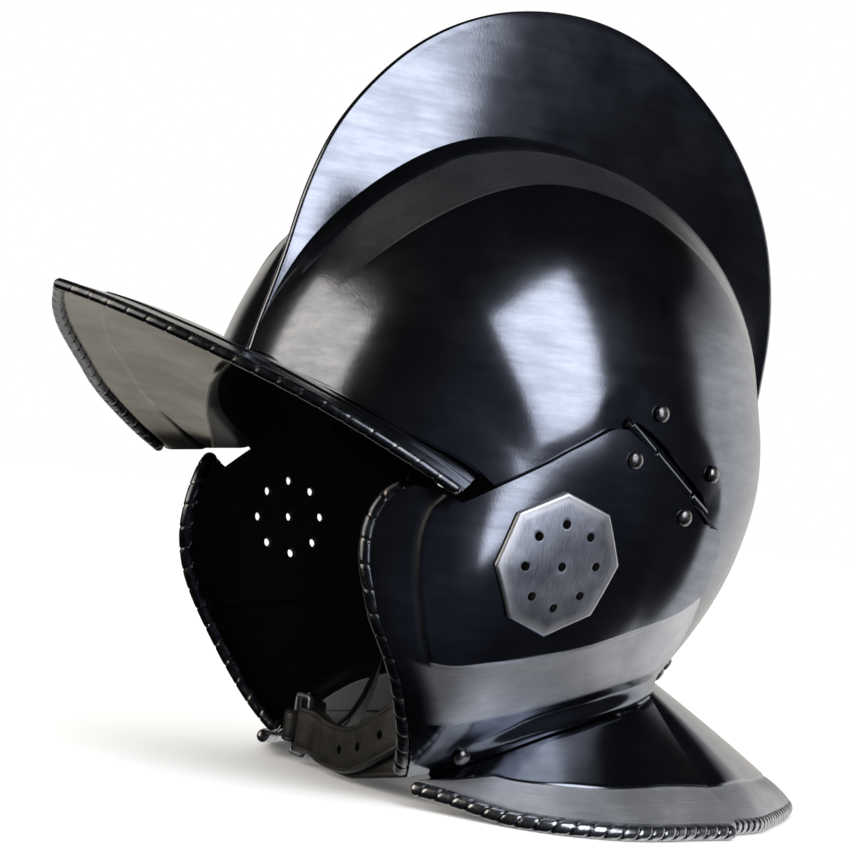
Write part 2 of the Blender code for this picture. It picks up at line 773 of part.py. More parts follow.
def turned(name, profile, base, axis, collection, steel, sides):
    """Turn a profile of (radius, height) pairs round an axis; its ends close on the axis."""
    bm = bmesh.new()
    turn = Vector((0, 0, 1)).rotation_difference(axis.normalized()).to_matrix()
    rings = []
    for radius, height in profile:
        points = [Vector((radius * cos(2 * pi * k / sides), radius * sin(2 * pi * k / sides), height))
                  for k in range(sides)]
        rings.append([bm.verts.new(base + turn @ p) for p in points])
    for ring, after in zip(rings, rings[1:]):
        for k in range(sides):
            n = (k + 1) % sides
            bm.faces.new((ring[k], ring[n], after[n], after[k]))
    bm.faces.new(rings[0])
    bm.faces.new(rings[-1])
    bmesh.ops.recalc_face_normals(bm, faces=bm.faces)
    return new_object(name, bm, collection, steel)


def tube(name, start, end, radius, bore, collection, steel, sides=6):
    """A straight tube between two points."""
    bm = bmesh.new()
    axis = (end - start).normalized()
    turn = Vector((0, 0, 1)).rotation_difference(axis).to_matrix()
    rings = []
    for at, size in ((start, radius), (end, radius), (end, bore), (start, bore)):
        rings.append([bm.verts.new(at + turn @ Vector((size * cos(2 * pi * k / sides),
                                                       size * sin(2 * pi * k / sides), 0)))
                      for k in range(sides)])
    for ring, after in zip(rings, rings[1:] + rings[:1]):
        for k in range(sides):
            n = (k + 1) % sides
            bm.faces.new((ring[k], ring[n], after[n], after[k]))
    bmesh.ops.recalc_face_normals(bm, faces=bm.faces)
    return new_object(name, bm, collection, steel)


def cheek_normal(share_y, share_z):
    step = 0.01
    a = cheek_point(share_y + step, share_z) - cheek_point(share_y - step, share_z)
    b = cheek_point(share_y, share_z + step) - cheek_point(share_y, share_z - step)
    normal = a.cross(b).normalized()
    return normal if normal.x > 0 else -normal


def flip(vector, sign):
    return Vector((vector.x * sign, vector.y, vector.z))


def build_rivet(name, surface, normal, stack, cut, collection, steel):
    """A domed rivet through a stack of plates, and the hole for it in each of them."""
    head = clearance
    tail = -stack - rivet_tail
    profile = ((rivet_head_radius * 0.55, head + rivet_head_rise),
               (rivet_head_radius, head), (rivet_shank_radius, head),
               (rivet_shank_radius, -stack), (rivet_tail_radius, -stack),
               (rivet_tail_radius * 0.7, tail))
    turned(name, profile, surface, normal, collection, steel, rivet_sides)
    drill_profile = ((rivet_hole_radius, 3 * MM), (rivet_hole_radius, -stack - 2 * MM))
    drill = turned(name + "_drill", drill_profile, surface, normal, cutters, steel, hole_sides)
    drill.hide_render = True
    for item in cut:
        join_solids(item, [drill], "DIFFERENCE")


# Ear bosses

boss_centre = (-0.132, -0.284)
boss_turn = 5.0


def boss_point(radius, angle, lift):
    """A point over the cheek's raised panel, at a radius and angle round the boss's middle."""
    middle = side_view(*boss_centre)
    y = middle[0] + radius * cos(angle)
    z = middle[1] + radius * sin(angle)
    shares = skull_shares(y, z)
    return cheek_point(*shares, panel_rise + 2 * clearance + lift)


def build_boss(side, sign, cheek, collection, steel):
    bm = bmesh.new()
    rings = (0.30, 0.72, 1.00)
    turns = [radians(boss_turn + 45 * k) for k in range(8)]
    layers = []
    for under in (0, 1):
        layer = [bm.verts.new(flip(boss_point(0, 0, 0 if under else boss_edge + boss_dome), sign))]
        for share in rings:
            dome = boss_edge + boss_dome * (1 - share**2)
            lift = 0.0 if under else dome
            layer.append([bm.verts.new(flip(boss_point(share * boss_radius, a, lift), sign)) for a in turns])
        layers.append(layer)
    for layer in layers:
        for k in range(8):
            n = (k + 1) % 8
            bm.faces.new((layer[0], layer[1][k], layer[1][n]))
            for ring, after in zip(layer[1:], layer[2:]):
                bm.faces.new((ring[k], after[k], after[n], ring[n]))
    for k in range(8):
        n = (k + 1) % 8
        bm.faces.new((layers[0][-1][k], layers[1][-1][k], layers[1][-1][n], layers[0][-1][n]))
    bmesh.ops.recalc_face_normals(bm, faces=bm.faces)
    boss = new_object("ear_boss_" + side, bm, collection, steel)
    places = [(0.0, 0.0)] + [(boss_hole_circle, radians(boss_turn + 360 * k / boss_ring_holes))
                             for k in range(boss_ring_holes)]
    normal = flip(cheek_normal(*boss_centre), sign)
    for k, (radius, angle) in enumerate(places):
        middle = flip(boss_point(radius, angle, 0.0), sign)
        for item, size in ((boss, boss_hole_radius), (cheek, boss_hole_radius + boss_hole_margin)):
            drill = turned("sound_hole_%d_%s" % (k, item.name), ((size, -6 * MM), (size, 9 * MM)),
                           middle, normal, cutters, steel, hole_sides)
            drill.hide_render = True
            join_solids(item, [drill], "DIFFERENCE")
    return boss


# Hinges
# The hinge's pin lies along the cheek's sloping back edge. Each leaf is a strip with its own
# knuckles, riveted inside the plate that it carries.

hinge_ends = ((0.073, 0.083), (0.428, -0.176))
hinge_push = 0.6 * MM
knuckle_shares = (0.00, 0.31, 0.78, 1.00)
knuckle_gap = 0.012
leaf_depth = 0.9 * MM


def hinge_point(share):
    ends = [skull_point(unit_from_shares(*place)) for place in hinge_ends]
    push = skull_normal(unit_from_shares(*hinge_ends[0])) * hinge_push
    return ends[0].lerp(ends[1], share) + push


def leaf_patch(name, first, last, near, far, towards_cheek, sign, collection, steel):
    """One strip of a hinge leaf between two shares of the pin and two distances from it."""
    axis = (hinge_point(1.0) - hinge_point(0.0)).normalized()
    outer, inner = [], []
    steps = 2 if last - first < 0.5 else 4
    for share in (first + (last - first) * k / steps for k in range(steps + 1)):
        pin = hinge_point(share)
        row_out, row_in = [], []
        for distance in (near, (near + far) / 2, far):
            shares = skull_shares(pin.y, pin.z)
            normal = skull_normal(unit_from_shares(*shares))
            away = axis.cross(normal).normalized()
            down_forward = Vector((0, -0.5, -0.85))
            if (away.dot(down_forward) > 0) != towards_cheek:
                away = -away
            place = pin + away * distance
            shares = skull_shares(place.y, place.z)
            if towards_cheek:
                base = cheek_point(*shares)
                depth = plate - panel_rise + leaf_depth
                normal = cheek_normal(*shares)
            else:
                unit = unit_from_shares(*shares)
                base = skull_point(unit)
                depth = plate + leaf_depth * 1.6
                normal = skull_normal(unit)
            top = base - normal * depth
            if distance <= hinge_knuckle_radius + 0.5 * MM:
                top = pin + away * distance - normal * (hinge_bore_radius + distance * 0.35)
            row_out.append(flip(top, sign))
            row_in.append(flip(top - normal * hinge_leaf_thickness, sign))
        outer.append(row_out)
        inner.append(row_in)
    return new_object(name, loft_plate(outer, inner), collection, steel)


def build_hinge(side, sign, plates, collection, steel):
    slot_ends = (flip(hinge_point(-0.035), sign), flip(hinge_point(1.03), sign))
    slot_profile = ((hinge_edge_clearance, 0.0), (hinge_edge_clearance, (slot_ends[1] - slot_ends[0]).length))
    slot = turned("hinge_slot_" + side, slot_profile, slot_ends[0], slot_ends[1] - slot_ends[0],
                  cutters, steel, 8)
    slot.hide_render = True
    for item in plates:
        join_solids(item, [slot], "DIFFERENCE")
    spans = list(zip(knuckle_shares, knuckle_shares[1:]))
    leaves = []
    for leaf, towards_cheek, own in (("hinge_skull_leaf_", False, (0, 2)), ("hinge_cheek_leaf_", True, (1,))):
        whole = leaf_patch(leaf + side, 0.03, 0.97, hinge_knuckle_radius + 0.9 * MM, hinge_leaf_width,
                           towards_cheek, sign, collection, steel)
        parts = []
        for k in own:
            first = spans[k][0] + knuckle_gap
            last = spans[k][1] - knuckle_gap
            parts.append(tube("knuckle", flip(hinge_point(first), sign), flip(hinge_point(last), sign),
                              hinge_knuckle_radius, hinge_bore_radius, collection, steel))
            parts.append(leaf_patch("tab", max(first, 0.035), min(last, 0.965), hinge_bore_radius * 0.2,
                                    hinge_knuckle_radius + 2.5 * MM, towards_cheek, sign, collection, steel))
        leaves.append(join_solids(whole, parts))
    tube_ends = (flip(hinge_point(-0.01), sign), flip(hinge_point(1.01), sign))
    profile = ((hinge_pin_radius, 0.0), (hinge_pin_radius, (tube_ends[1] - tube_ends[0]).length))
    turned("hinge_pin_" + side, profile, tube_ends[0], tube_ends[1] - tube_ends[0], collection, steel, 8)
    return leaves


# Chin strap
# Each strap's middle line is a table of (across from the chin, forward of the chin line,
# height) in strap widths; a strap stands on its edge, and its top may lean as the cheek does.

chin_line = -36.0 * MM
collar_rivet = (0.150, 6.0 * MM)
strap_depth = plate * 2 + hidden_gap + 8.2 * MM
wire_fold = strap_thickness / 2 + buckle_wire_radius + 3 * clearance
ring_far = (-2.42, -0.02)
ring_near = (-1.86, -0.02)
ring_low = 3.9 * MM
ring_high = 28.5 * MM
strap_behind = ((2.44, -0.08, 1.02), (2.05, 0.00, 0.92), (1.55, 0.05, 0.82), (0.95, 0.06, 0.70), (0.20, 0.02, 0.59),
                (-0.80, -0.04, 0.63), (-1.40, -0.12, 0.77))
strap_in_front = ((-1.30, 0.13, 0.77), (-0.75, 0.17, 0.67), (0.10, 0.20, 0.66), (0.80, 0.24, 0.82),
                  (1.45, 0.25, 1.12), (2.00, 0.22, 1.42), (2.50, 0.12, 1.72))
back_strap_line = ((-0.90, -0.24, 0.78), (-1.30, -0.75, 1.02), (-2.20, -1.60, 1.42),
                   (-3.10, -2.35, 1.90), (-3.74, -2.82, 2.32))
strap_hole_shares = (0.33, 0.52, 0.74)


def chin_place(across, forward, height):
    return Vector((across * strap_width, chin_line - forward * strap_width, height * strap_width))


def fold(centre, height, first, last, count=5):
    """Points round one upright bar of the buckle, between two directions in degrees."""
    middle = chin_place(*centre, height)
    angles = [radians(first + (last - first) * k / (count - 1)) for k in range(count)]
    return [middle + Vector((cos(a), sin(a), 0)) * wire_fold for a in angles]


def ribbon(name, path, width, collection, leather, first_narrow=0, taper=1.0):
    """An upright strap of even thickness along a path, narrower at its first few points."""
    bm = bmesh.new()
    rings = []
    last = len(path) - 1
    for k, point in enumerate(path):
        ahead = (path[min(k + 1, last)] - path[max(k - 1, 0)]).normalized()
        up = (Vector((0, 0, 1)) - ahead * ahead.z).normalized()
        face = ahead.cross(up)
        half = width / 2 * (1 + (taper - 1) * k / last) * (0.5 if k < first_narrow else 1.0)
        thick = strap_thickness / 2
        corners = ((half, thick), (-half, thick), (-half, -thick), (half, -thick))
        rings.append([bm.verts.new(point + up * a + face * b) for a, b in corners])
    for ring, after in zip(rings, rings[1:]):
        for k in range(4):
            n = (k + 1) % 4
            bm.faces.new((ring[k], ring[n], after[n], after[k]))
    bm.faces.new(rings[0])
    bm.faces.new(rings[-1])
    bmesh.ops.recalc_face_normals(bm, faces=bm.faces)
    return new_object(name, bm, collection, leather)


def hem_point_and_normal(at, height):
    step = 0.02
    a = hem_surface(at + step, height) - hem_surface(at - step, height)
    b = hem_surface(at, height + strap_width * 0.7) - hem_surface(at, height - strap_width * 0.2)
    normal = a.cross(b).normalized()
    normal = normal if normal.x > 0 else -normal
    return hem_surface(at, height), normal


def strap_anchor(sign):
    """Path points where a strap is riveted inside a cheek's lower corner."""
    surface, normal = hem_point_and_normal(*collar_rivet)
    normal = Vector((normal.x, normal.y, 0)).normalized()
    forward = Vector((0, -1, 0))
    forward = (forward - normal * forward.dot(normal)).normalized()
    middle = surface - normal * (strap_depth + strap_thickness / 2)
    steps = (-8 * MM, -3 * MM, 2.6 * MM)
    return [flip(middle + forward * step, sign) for step in steps]


def build_straps(collection, leather, steel):
    path = strap_anchor(1.0)
    behind = [chin_place(*row) for row in strap_behind]
    front = [chin_place(*row) for row in strap_in_front]
    loop = fold(ring_near, 0.80, 90, 270)
    path += behind + loop + front
    strap = ribbon("chin_strap", path, strap_width, collection, leather, 3)
    first = len(path) - len(front)
    for k, share in enumerate(strap_hole_shares):
        at = first + share * (len(front) - 1)
        low = path[int(at)]
        place = low.lerp(path[int(at) + 1], at - int(at))
        drill = turned("strap_hole_%d" % k, ((strap_hole_radius, -2.2 * MM), (strap_hole_radius, 1.6 * MM)),
                       place, Vector((0, 1, 0)), cutters, leather, hole_sides)
        drill.hide_render = True
        join_solids(strap, [drill], "DIFFERENCE")
    path = strap_anchor(-1.0)
    path += [chin_place(-2.66, -0.24, 0.90)]
    loop = fold(ring_far, 0.80, 118, -90, 6)
    path += loop
    path += [chin_place(-2.60, 0.13, 0.80)]
    chape = ribbon("buckle_strap", path, strap_width * 0.72, collection, leather, 4)
    line = [chin_place(*row) for row in back_strap_line]
    back = ribbon("back_strap", line, strap_width * 0.62, collection, leather, 0, 0.7)
    corners = [chin_place(*ring_far, 0), chin_place(*ring_near, 0)]
    bm = bmesh.new()
    rings = []
    ahead = (corners[1] - corners[0]).normalized()
    inset = 1.6 * MM
    loop = []
    for x_end, z_end, first in ((0, 0, 0), (1, 0, 1), (1, 1, 0), (0, 1, 1)):
        point = Vector((corners[x_end].x, corners[x_end].y, (ring_low, ring_high)[z_end]))
        along_x = ahead * inset * (1 if x_end == 0 else -1)
        along_z = Vector((0, 0, inset * (1 if z_end == 0 else -1)))
        pair = (point + along_z, point + along_x)
        loop += pair if first == 0 else pair[::-1]
    side_way = ahead.cross(Vector((0, 0, 1))).normalized()
    for k, point in enumerate(loop):
        tangent = (loop[(k + 1) % 8] - loop[k - 1]).normalized()
        out = tangent.cross(side_way).normalized()
        rings.append([bm.verts.new(point + (out * cos(a) + side_way * sin(a)) * buckle_wire_radius)
                      for a in (2 * pi * n / 6 for n in range(6))])
    for ring, after in zip(rings, rings[1:] + rings[:1]):
        for k in range(6):
            n = (k + 1) % 6
            bm.faces.new((ring[k], ring[n], after[n], after[k]))
    bmesh.ops.recalc_face_normals(bm, faces=bm.faces)
    new_object("buckle_ring", bm, collection, steel)
    return strap, chape, back


hinge_cheek_rivets = ((0.095, -0.022), (0.324, -0.176))
hinge_skull_rivets = ((0.193, 0.112), (0.433, -0.069))
guard_rivets = ((0.560, -0.630), (0.680, -0.625))


# Scene

for item in list(bpy.data.objects):
    bpy.data.objects.remove(item)
burgonet = bpy.data.collections.new("burgonet")
bpy.context.scene.collection.children.link(burgonet)
cutters = bpy.data.collections.new("cutters")
bpy.context.scene.collection.children.link(cutters)

black_steel = material("polished_black_steel", (0.020, 0.023, 0.030), 0.18, 1.0)
bright_steel = material("brushed_bright_steel", (0.42, 0.42, 0.41), 0.32, 1.0)
leather = material("black_harness_leather", (0.030, 0.026, 0.024), 0.60, 0.0)

skull = build_skull(burgonet, black_steel)
guard = build_neck_guard(burgonet, black_steel)
build_peak(burgonet, black_steel)
strap, buckle_strap, back_strap = build_straps(burgonet, leather, bright_steel)
hinge_stack = plate + leaf_depth * 1.6 + hinge_leaf_thickness + panel_rise + clearance
anchor_stack = strap_depth + strap_thickness + 8 * clearance
for side, sign in SIDES:
    cheek = build_cheek(side, sign, burgonet, black_steel)
    collar = build_collar(side, sign, burgonet, black_steel)
    build_boss(side, sign, cheek, burgonet, bright_steel)
    skull_leaf, cheek_leaf = build_hinge(side, sign, (skull, cheek), burgonet, black_steel)
    for k, place in enumerate(hinge_skull_rivets):
        unit = unit_from_shares(*place)
        point = flip(skull_point(unit) + skull_normal(unit) * panel_rise, sign)
        build_rivet("hinge_skull_rivet_%d_%s" % (k + 1, side), point, flip(skull_normal(unit), sign),
                    hinge_stack, (skull, skull_leaf), burgonet, black_steel)
    for k, place in enumerate(hinge_cheek_rivets):
        point = flip(cheek_point(*place, panel_rise), sign)
        build_rivet("hinge_cheek_rivet_%d_%s" % (k + 1, side), point, flip(cheek_normal(*place), sign),
                    hinge_stack, (cheek, cheek_leaf), burgonet, black_steel)
    surface, normal = hem_point_and_normal(*collar_rivet)
    normal = Vector((normal.x, normal.y, normal.z * 0.5)).normalized()
    build_rivet("collar_rivet_" + side, flip(surface + normal * 4 * clearance, sign), flip(normal, sign), anchor_stack,
                (cheek, collar, strap if sign > 0 else buckle_strap), burgonet, black_steel)
    for k, place in enumerate(guard_rivets):
        unit = unit_from_shares(*place)
        point = skull_point(unit) + skull_normal(unit) * panel_rise
        build_rivet("guard_rivet_%d_%s" % (k + 1, side), flip(point, sign),
                    flip(skull_normal(unit), sign), plate * 2 + panel_rise + hidden_gap + 2 * clearance,
                    (skull, guard), burgonet, black_steel)
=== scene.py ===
"""The burgonet's looks: plates with their rolled and roped edges, bands, rivets, ear bosses,
hinges and leather, a studio of soft boxes and the camera at the photograph's angle.

Metres, +Z up. The wearer's face is at -Y and the wearer's left side at +X.
"""
from bisect import bisect_right
from math import atan2, cos, degrees, pi, radians, sin, sqrt

import bmesh
import bpy
from mathutils import Matrix, Vector


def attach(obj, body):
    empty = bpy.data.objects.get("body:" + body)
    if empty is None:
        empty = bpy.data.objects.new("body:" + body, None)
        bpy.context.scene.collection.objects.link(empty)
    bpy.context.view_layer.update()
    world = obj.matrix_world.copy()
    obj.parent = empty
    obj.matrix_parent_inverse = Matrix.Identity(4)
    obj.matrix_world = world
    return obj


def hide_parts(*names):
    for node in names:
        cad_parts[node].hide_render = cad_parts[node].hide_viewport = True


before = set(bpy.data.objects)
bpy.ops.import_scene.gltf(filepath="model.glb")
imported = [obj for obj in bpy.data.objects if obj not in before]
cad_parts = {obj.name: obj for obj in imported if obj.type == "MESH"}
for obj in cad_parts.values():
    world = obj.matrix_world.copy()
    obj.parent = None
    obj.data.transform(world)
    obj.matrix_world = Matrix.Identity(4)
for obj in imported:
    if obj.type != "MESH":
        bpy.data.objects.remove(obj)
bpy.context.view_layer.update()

MM = 0.001

# Sizes, as the solids have them
plate = 1.3 * MM
clearance = 0.35 * MM
hidden_gap = 1.2 * MM
panel_rise = 1.2 * MM
skull_half_width = 106.0 * MM
brow_reach = 106.5 * MM
back_reach = 135.5 * MM
crown_rise = 127.0 * MM
nape_drop = 153.0 * MM
middle_y = -4.5 * MM
middle_height = 147.0 * MM
crown_slope = 0.13
nape_fullness = 0.036
comb_edge_half = 1.7 * MM
comb_root_half = 9.0 * MM
comb_cove_depth = 1.6 * MM
comb_full_height = 38.0 * MM
peak_reach = 188.4 * MM
peak_half_width = 124.0 * MM
peak_root_flange = 7.0 * MM
peak_roll_radius = 2.2 * MM
peak_arch = 3.0 * MM
peak_lift = 37.5 * MM
peak_band = 19.0 * MM
cheek_gap = 1.2 * MM
cheek_lap = 1.6 * MM
cheek_roll_radius = 3.2 * MM
cheek_hem_flare = 5.0 * MM
cheek_hem_height = 9.0 * MM
boss_radius = 28.0 * MM
boss_edge = 1.2 * MM
boss_dome = 1.2 * MM
boss_hole_radius = 1.8 * MM
boss_hole_margin = 0.8 * MM
boss_hole_circle = 16.2 * MM
neck_flange = 9.0 * MM
rim_half_width = 116.0 * MM
rim_back = 189.4 * MM
rim_roll_radius = 3.0 * MM
collar_overlap = 2.6 * MM
collar_front_lift = 4.5 * MM
collar_start = 0.08
band_width = 20.0 * MM
band_step = 0.8 * MM
strap_width = 19.0 * MM
strap_thickness = 2.2 * MM
buckle_wire_radius = 1.3 * MM
# How hollow the collars and the guard are, less than the solids', and how far their bands swell
collar_sag = 1.5 * MM
guard_sag = -1.0 * MM
band_swell = 1.0 * MM


def smooth(t):
    t = min(max(t, 0.0), 1.0)
    return t * t * (3 - 2 * t)


def table_value(rows, at, column):
    """Read one column of a table at a place along its first column, with smooth joins."""
    at = min(max(at, rows[0][0]), rows[-1][0])
    i = 0
    while i < len(rows) - 2 and rows[i + 1][0] <= at + 1e-9:
        i += 1
    p0 = rows[max(i - 1, 0)]
    p1 = rows[i]
    p2 = rows[i + 1]
    p3 = rows[min(i + 2, len(rows) - 1)]
    span = p2[0] - p1[0]
    t = (at - p1[0]) / span
    slope1 = (p2[column] - p0[column]) / (p2[0] - p0[0])
    slope2 = (p3[column] - p1[column]) / (p3[0] - p1[0])
    return ((2 * t**3 - 3 * t**2 + 1) * p1[column] + (t**3 - 2 * t**2 + t) * span * slope1
            + (3 * t**2 - 2 * t**3) * p2[column] + (t**3 - t**2) * span * slope2)


def curve(points):
    """A smooth curve through points, read at a share of its length."""
    rows = [(0.0, *points[0])]
    for before, after in zip(points, points[1:]):
        step = sqrt(sum((b - a) ** 2 for a, b in zip(before, after)))
        rows.append((rows[-1][0] + step, *after))
    length = rows[-1][0]
    columns = range(1, len(points[0]) + 1)
    kept = {}

    def read(share):
        if share not in kept:
            kept[share] = tuple(table_value(rows, share * length, k) for k in columns)
        return kept[share]
    return read


def cornered(rows):
    """An outline with sharp corners, read at a share of the way across."""
    def read(at):
        at = min(max(at, rows[0][0]), rows[-1][0])
        i = 0
        while i < len(rows) - 2 and rows[i + 1][0] <= at:
            i += 1
        t = (at - rows[i][0]) / (rows[i + 1][0] - rows[i][0])
        return tuple(rows[i][k] * (1 - t) + rows[i + 1][k] * t for k in (1, 2))
    return read


# The skull's egg


def side_view(share_y, share_z):
    y = share_y * (brow_reach if share_y < 0 else back_reach)
    z = share_z * (crown_rise if share_z > 0 else nape_drop)
    return middle_y + y, middle_height + crown_slope * y + z


def skull_shares(y, z):
    dy = y - middle_y
    dz = z - middle_height - crown_slope * dy
    return (dy / (brow_reach if dy < 0 else back_reach),
            dz / (crown_rise if dz > 0 else nape_drop))


def fullness(share_y, share_z):
    return 1 + nape_fullness * (smooth(share_y / 0.6) * smooth((0.2 - share_z) / 0.4)
                                * smooth((share_z + 0.8) / 0.45))


def skull_point(unit):
    unit = unit.normalized()
    fuller = fullness(unit.y, unit.z)
    y, z = side_view(unit.y * fuller, unit.z)
    return Vector((unit.x * skull_half_width * fuller, y, z))


def unit_from_shares(share_y, share_z):
    return Vector((sqrt(max(1 - share_y**2 - share_z**2, 0.0)), share_y, share_z))


def skull_normal(unit):
    unit = unit.normalized()
    step = 0.002
    guide = Vector((0, 0, 1)) if abs(unit.x) > 0.5 else Vector((1, 0, 0))
    a = unit.cross(guide).normalized()
    b = unit.cross(a)
    here = skull_point(unit)
    normal = (skull_point(unit + a * step) - here).cross(skull_point(unit + b * step) - here)
    outward = here - Vector((0, middle_y, middle_height))
    return normal.normalized() * (1 if normal.dot(outward) > 0 else -1)


# Curves on the skull, as (share_y, share_z)
brow_points = ((-0.960, 0.280), (-0.925, 0.225), (-0.860, 0.178), (-0.800, 0.136), (-0.727, 0.082),
               (-0.591, 0.015), (-0.471, -0.037), (-0.385, -0.090))
side_points = ((-0.385, -0.090), (-0.260, -0.110), (-0.120, -0.075), (0.000, 0.000), (0.060, 0.075),
               (0.120, 0.083), (0.280, -0.030), (0.430, -0.145), (0.455, -0.230), (0.465, -0.330),
               (0.480, -0.450), (0.470, -0.570), (0.440, -0.685))
nape_points = ((0.745, -0.667), (0.660, -0.668), (0.550, -0.674), (0.440, -0.685))
brow_line = curve(brow_points)
side_edge = curve(side_points)
neck_line_back = curve(nape_points)

# The comb, as (degrees round the middle from straight ahead, height as a share of crown_rise)
comb_outline = ((14, 0.000), (26, 0.014), (34, 0.038), (40, 0.072), (48, 0.132), (56, 0.198),
                (66, 0.270), (78, 0.352), (92, 0.427), (104, 0.467), (116, 0.468), (130, 0.430),
                (143, 0.373), (154, 0.300), (165, 0.218), (176, 0.140), (188, 0.065), (199, 0.015),
                (208, 0.000), (225, 0.000))

# (share from brow to nape, half width of the cove, half width of the panel's edge)
skull_bands = ((0.00, 0.060, 0.160), (0.12, 0.160, 0.360), (0.22, 0.240, 0.480),
               (0.34, 0.340, 0.560), (0.46, 0.430, 0.625), (0.60, 0.500, 0.645),
               (0.72, 0.530, 0.640), (0.84, 0.470, 0.560), (0.93, 0.330, 0.440), (1.00, 0.180, 0.290))


def angle_round_middle(share_y, share_z):
    y, z = side_view(share_y, share_z)
    return degrees(atan2(z - middle_height, middle_y - y)) % 360


middle_angles = (angle_round_middle(*brow_points[0]), angle_round_middle(*nape_points[0]))


def comb_angle(share):
    return middle_angles[0] + (middle_angles[1] - middle_angles[0]) * share


def median_unit(share):
    angle = comb_angle(share) * pi / 180
    ray_y = -cos(angle)
    ray_z = sin(angle)
    dy = ray_y / (brow_reach if ray_y < 0 else back_reach)
    raised = ray_z - crown_slope * ray_y
    dz = raised / (crown_rise if raised > 0 else nape_drop)
    return Vector((0, dy, dz)).normalized()


patch_corners = (median_unit(0.0), unit_from_shares(*side_points[0]),
                 median_unit(1.0), unit_from_shares(*side_points[-1]))


def skull_patch(share, drop):
    """Unit direction at a share from brow to nape and a drop from the middle line to the edge."""
    top = median_unit(share)
    bottom = unit_from_shares(*side_edge(share))
    front = unit_from_shares(*brow_line(drop))
    back = unit_from_shares(*neck_line_back(drop))
    a, b, c, d = patch_corners
    mix = (top * (1 - drop) + bottom * drop + front * (1 - share) + back * share
           - a * (1 - share) * (1 - drop) - b * (1 - share) * drop
           - c * share * (1 - drop) - d * share * drop)
    return mix.normalized()


def drop_at_half(share, half):
    """The drop from the middle line at which the skull is a given distance to one side."""
    low, high = 0.0, 1.0
    for _ in range(18):
        mid = (low + high) / 2
        if skull_point(skull_patch(share, mid)).x < half:
            low = mid
        else:
            high = mid
    return (low + high) / 2


def comb_height(share):
    return table_value(comb_outline, comb_angle(share), 1) * crown_rise


# Cheek pieces

cheek_fullness = ((-0.95, 2.22), (-0.85, 2.27), (-0.66, 2.35), (-0.45, 2.50), (-0.30, 2.50),
                  (-0.05, 2.08), (0.30, 2.00))
cheek_top = cornered(((0.00, 0.430, -0.200), (0.30, 0.062, 0.066), (0.34, 0.020, 0.070),
                      (0.52, -0.119, 0.015), (0.62, -0.220, -0.024), (0.74, -0.397, -0.084),
                      (0.82, -0.516, -0.127), (0.92, -0.600, -0.096), (1.00, -0.655, -0.085)))
# The back edge reaches further over the skull than the solid's, so that no light shows between them
cheek_back = curve(((0.430, -0.200), (0.509, -0.228), (0.529, -0.275), (0.531, -0.334), (0.530, -0.400)))
cheek_back_low = curve(((0.530, -0.400), (0.548, -0.470), (0.552, -0.570), (0.545, -0.690)))
cheek_front = curve(((-0.655, -0.085), (-0.712, -0.116), (-0.746, -0.165), (-0.760, -0.216),
                     (-0.757, -0.288), (-0.723, -0.376), (-0.692, -0.431), (-0.650, -0.485)))
cheek_front_low = curve(((-0.650, -0.485), (-0.560, -0.590), (-0.480, -0.690), (-0.412, -0.771),
                         (-0.362, -0.828), (-0.330, -0.862)))
panel_line = curve(((0.530, -0.400), (0.422, -0.446), (0.263, -0.485), (0.080, -0.521), (-0.120, -0.535),
                    (-0.300, -0.540), (-0.452, -0.541), (-0.560, -0.520), (-0.650, -0.485)))
neck_line = curve(((0.545, -0.690), (0.350, -0.712), (0.182, -0.737), (0.091, -0.752), (0.006, -0.776),
                   (-0.114, -0.810), (-0.211, -0.842), (-0.330, -0.862)))


def cheek_half(share_y, share_z):
    power = 2 + (table_value(cheek_fullness, share_z, 1) - 2) * smooth(-share_y / 0.45)
    fuller = fullness(share_y, share_z)
    rest = max(1 - abs(share_y / fuller) ** power - abs(share_z) ** power, 0.0)
    lap = cheek_lap * smooth((share_y - 0.25) / 0.2)
    return skull_half_width * fuller * rest ** (1 / power) + plate + cheek_gap + lap


def cheek_point(share_y, share_z, lift=0.0):
    y, z = side_view(share_y, share_z)
    return Vector((cheek_half(share_y, share_z) + lift, y, z))


def cheek_normal(share_y, share_z):
    step = 0.01
    a = cheek_point(share_y + step, share_z) - cheek_point(share_y - step, share_z)
    b = cheek_point(share_y, share_z + step) - cheek_point(share_y, share_z - step)
    normal = a.cross(b).normalized()
    return normal if normal.x > 0 else -normal


def four_sided(top, bottom, back, front, u, v):
    """Shares inside a patch between four curves, from back to front and from top to bottom."""
    t, b, f, r = top(u), bottom(u), front(v), back(v)
    t0, t1, b0, b1 = top(0.0), top(1.0), bottom(0.0), bottom(1.0)
    return tuple(t[k] * (1 - v) + b[k] * v + r[k] * (1 - u) + f[k] * u
                 - t0[k] * (1 - u) * (1 - v) - t1[k] * u * (1 - v)
                 - b0[k] * (1 - u) * v - b1[k] * u * v for k in (0, 1))


def cheek_place(u, v, low):
    if low:
        return four_sided(panel_line, neck_line, cheek_back_low, cheek_front_low, u, v)
    return four_sided(cheek_top, panel_line, cheek_back, cheek_front, u, v)


def hem_flare(share_along, above):
    """How far the cheek's hem is bent out, at a height above it."""
    return cheek_hem_flare * smooth((share_along - 0.02) / 0.32) * smooth(1 - above / cheek_hem_height)


def cheek_hem(at):
    point = cheek_point(*neck_line(1 - at))
    point.x += hem_flare(at, 0.0)
    return point


def hem_surface(at, height):
    share_y, share_z = neck_line(1 - at)
    point = cheek_point(share_y, share_z + height / nape_drop)
    point.x += hem_flare(at, height)
    return point


def flip(vector, sign):
    return Vector((vector.x * sign, vector.y, vector.z))


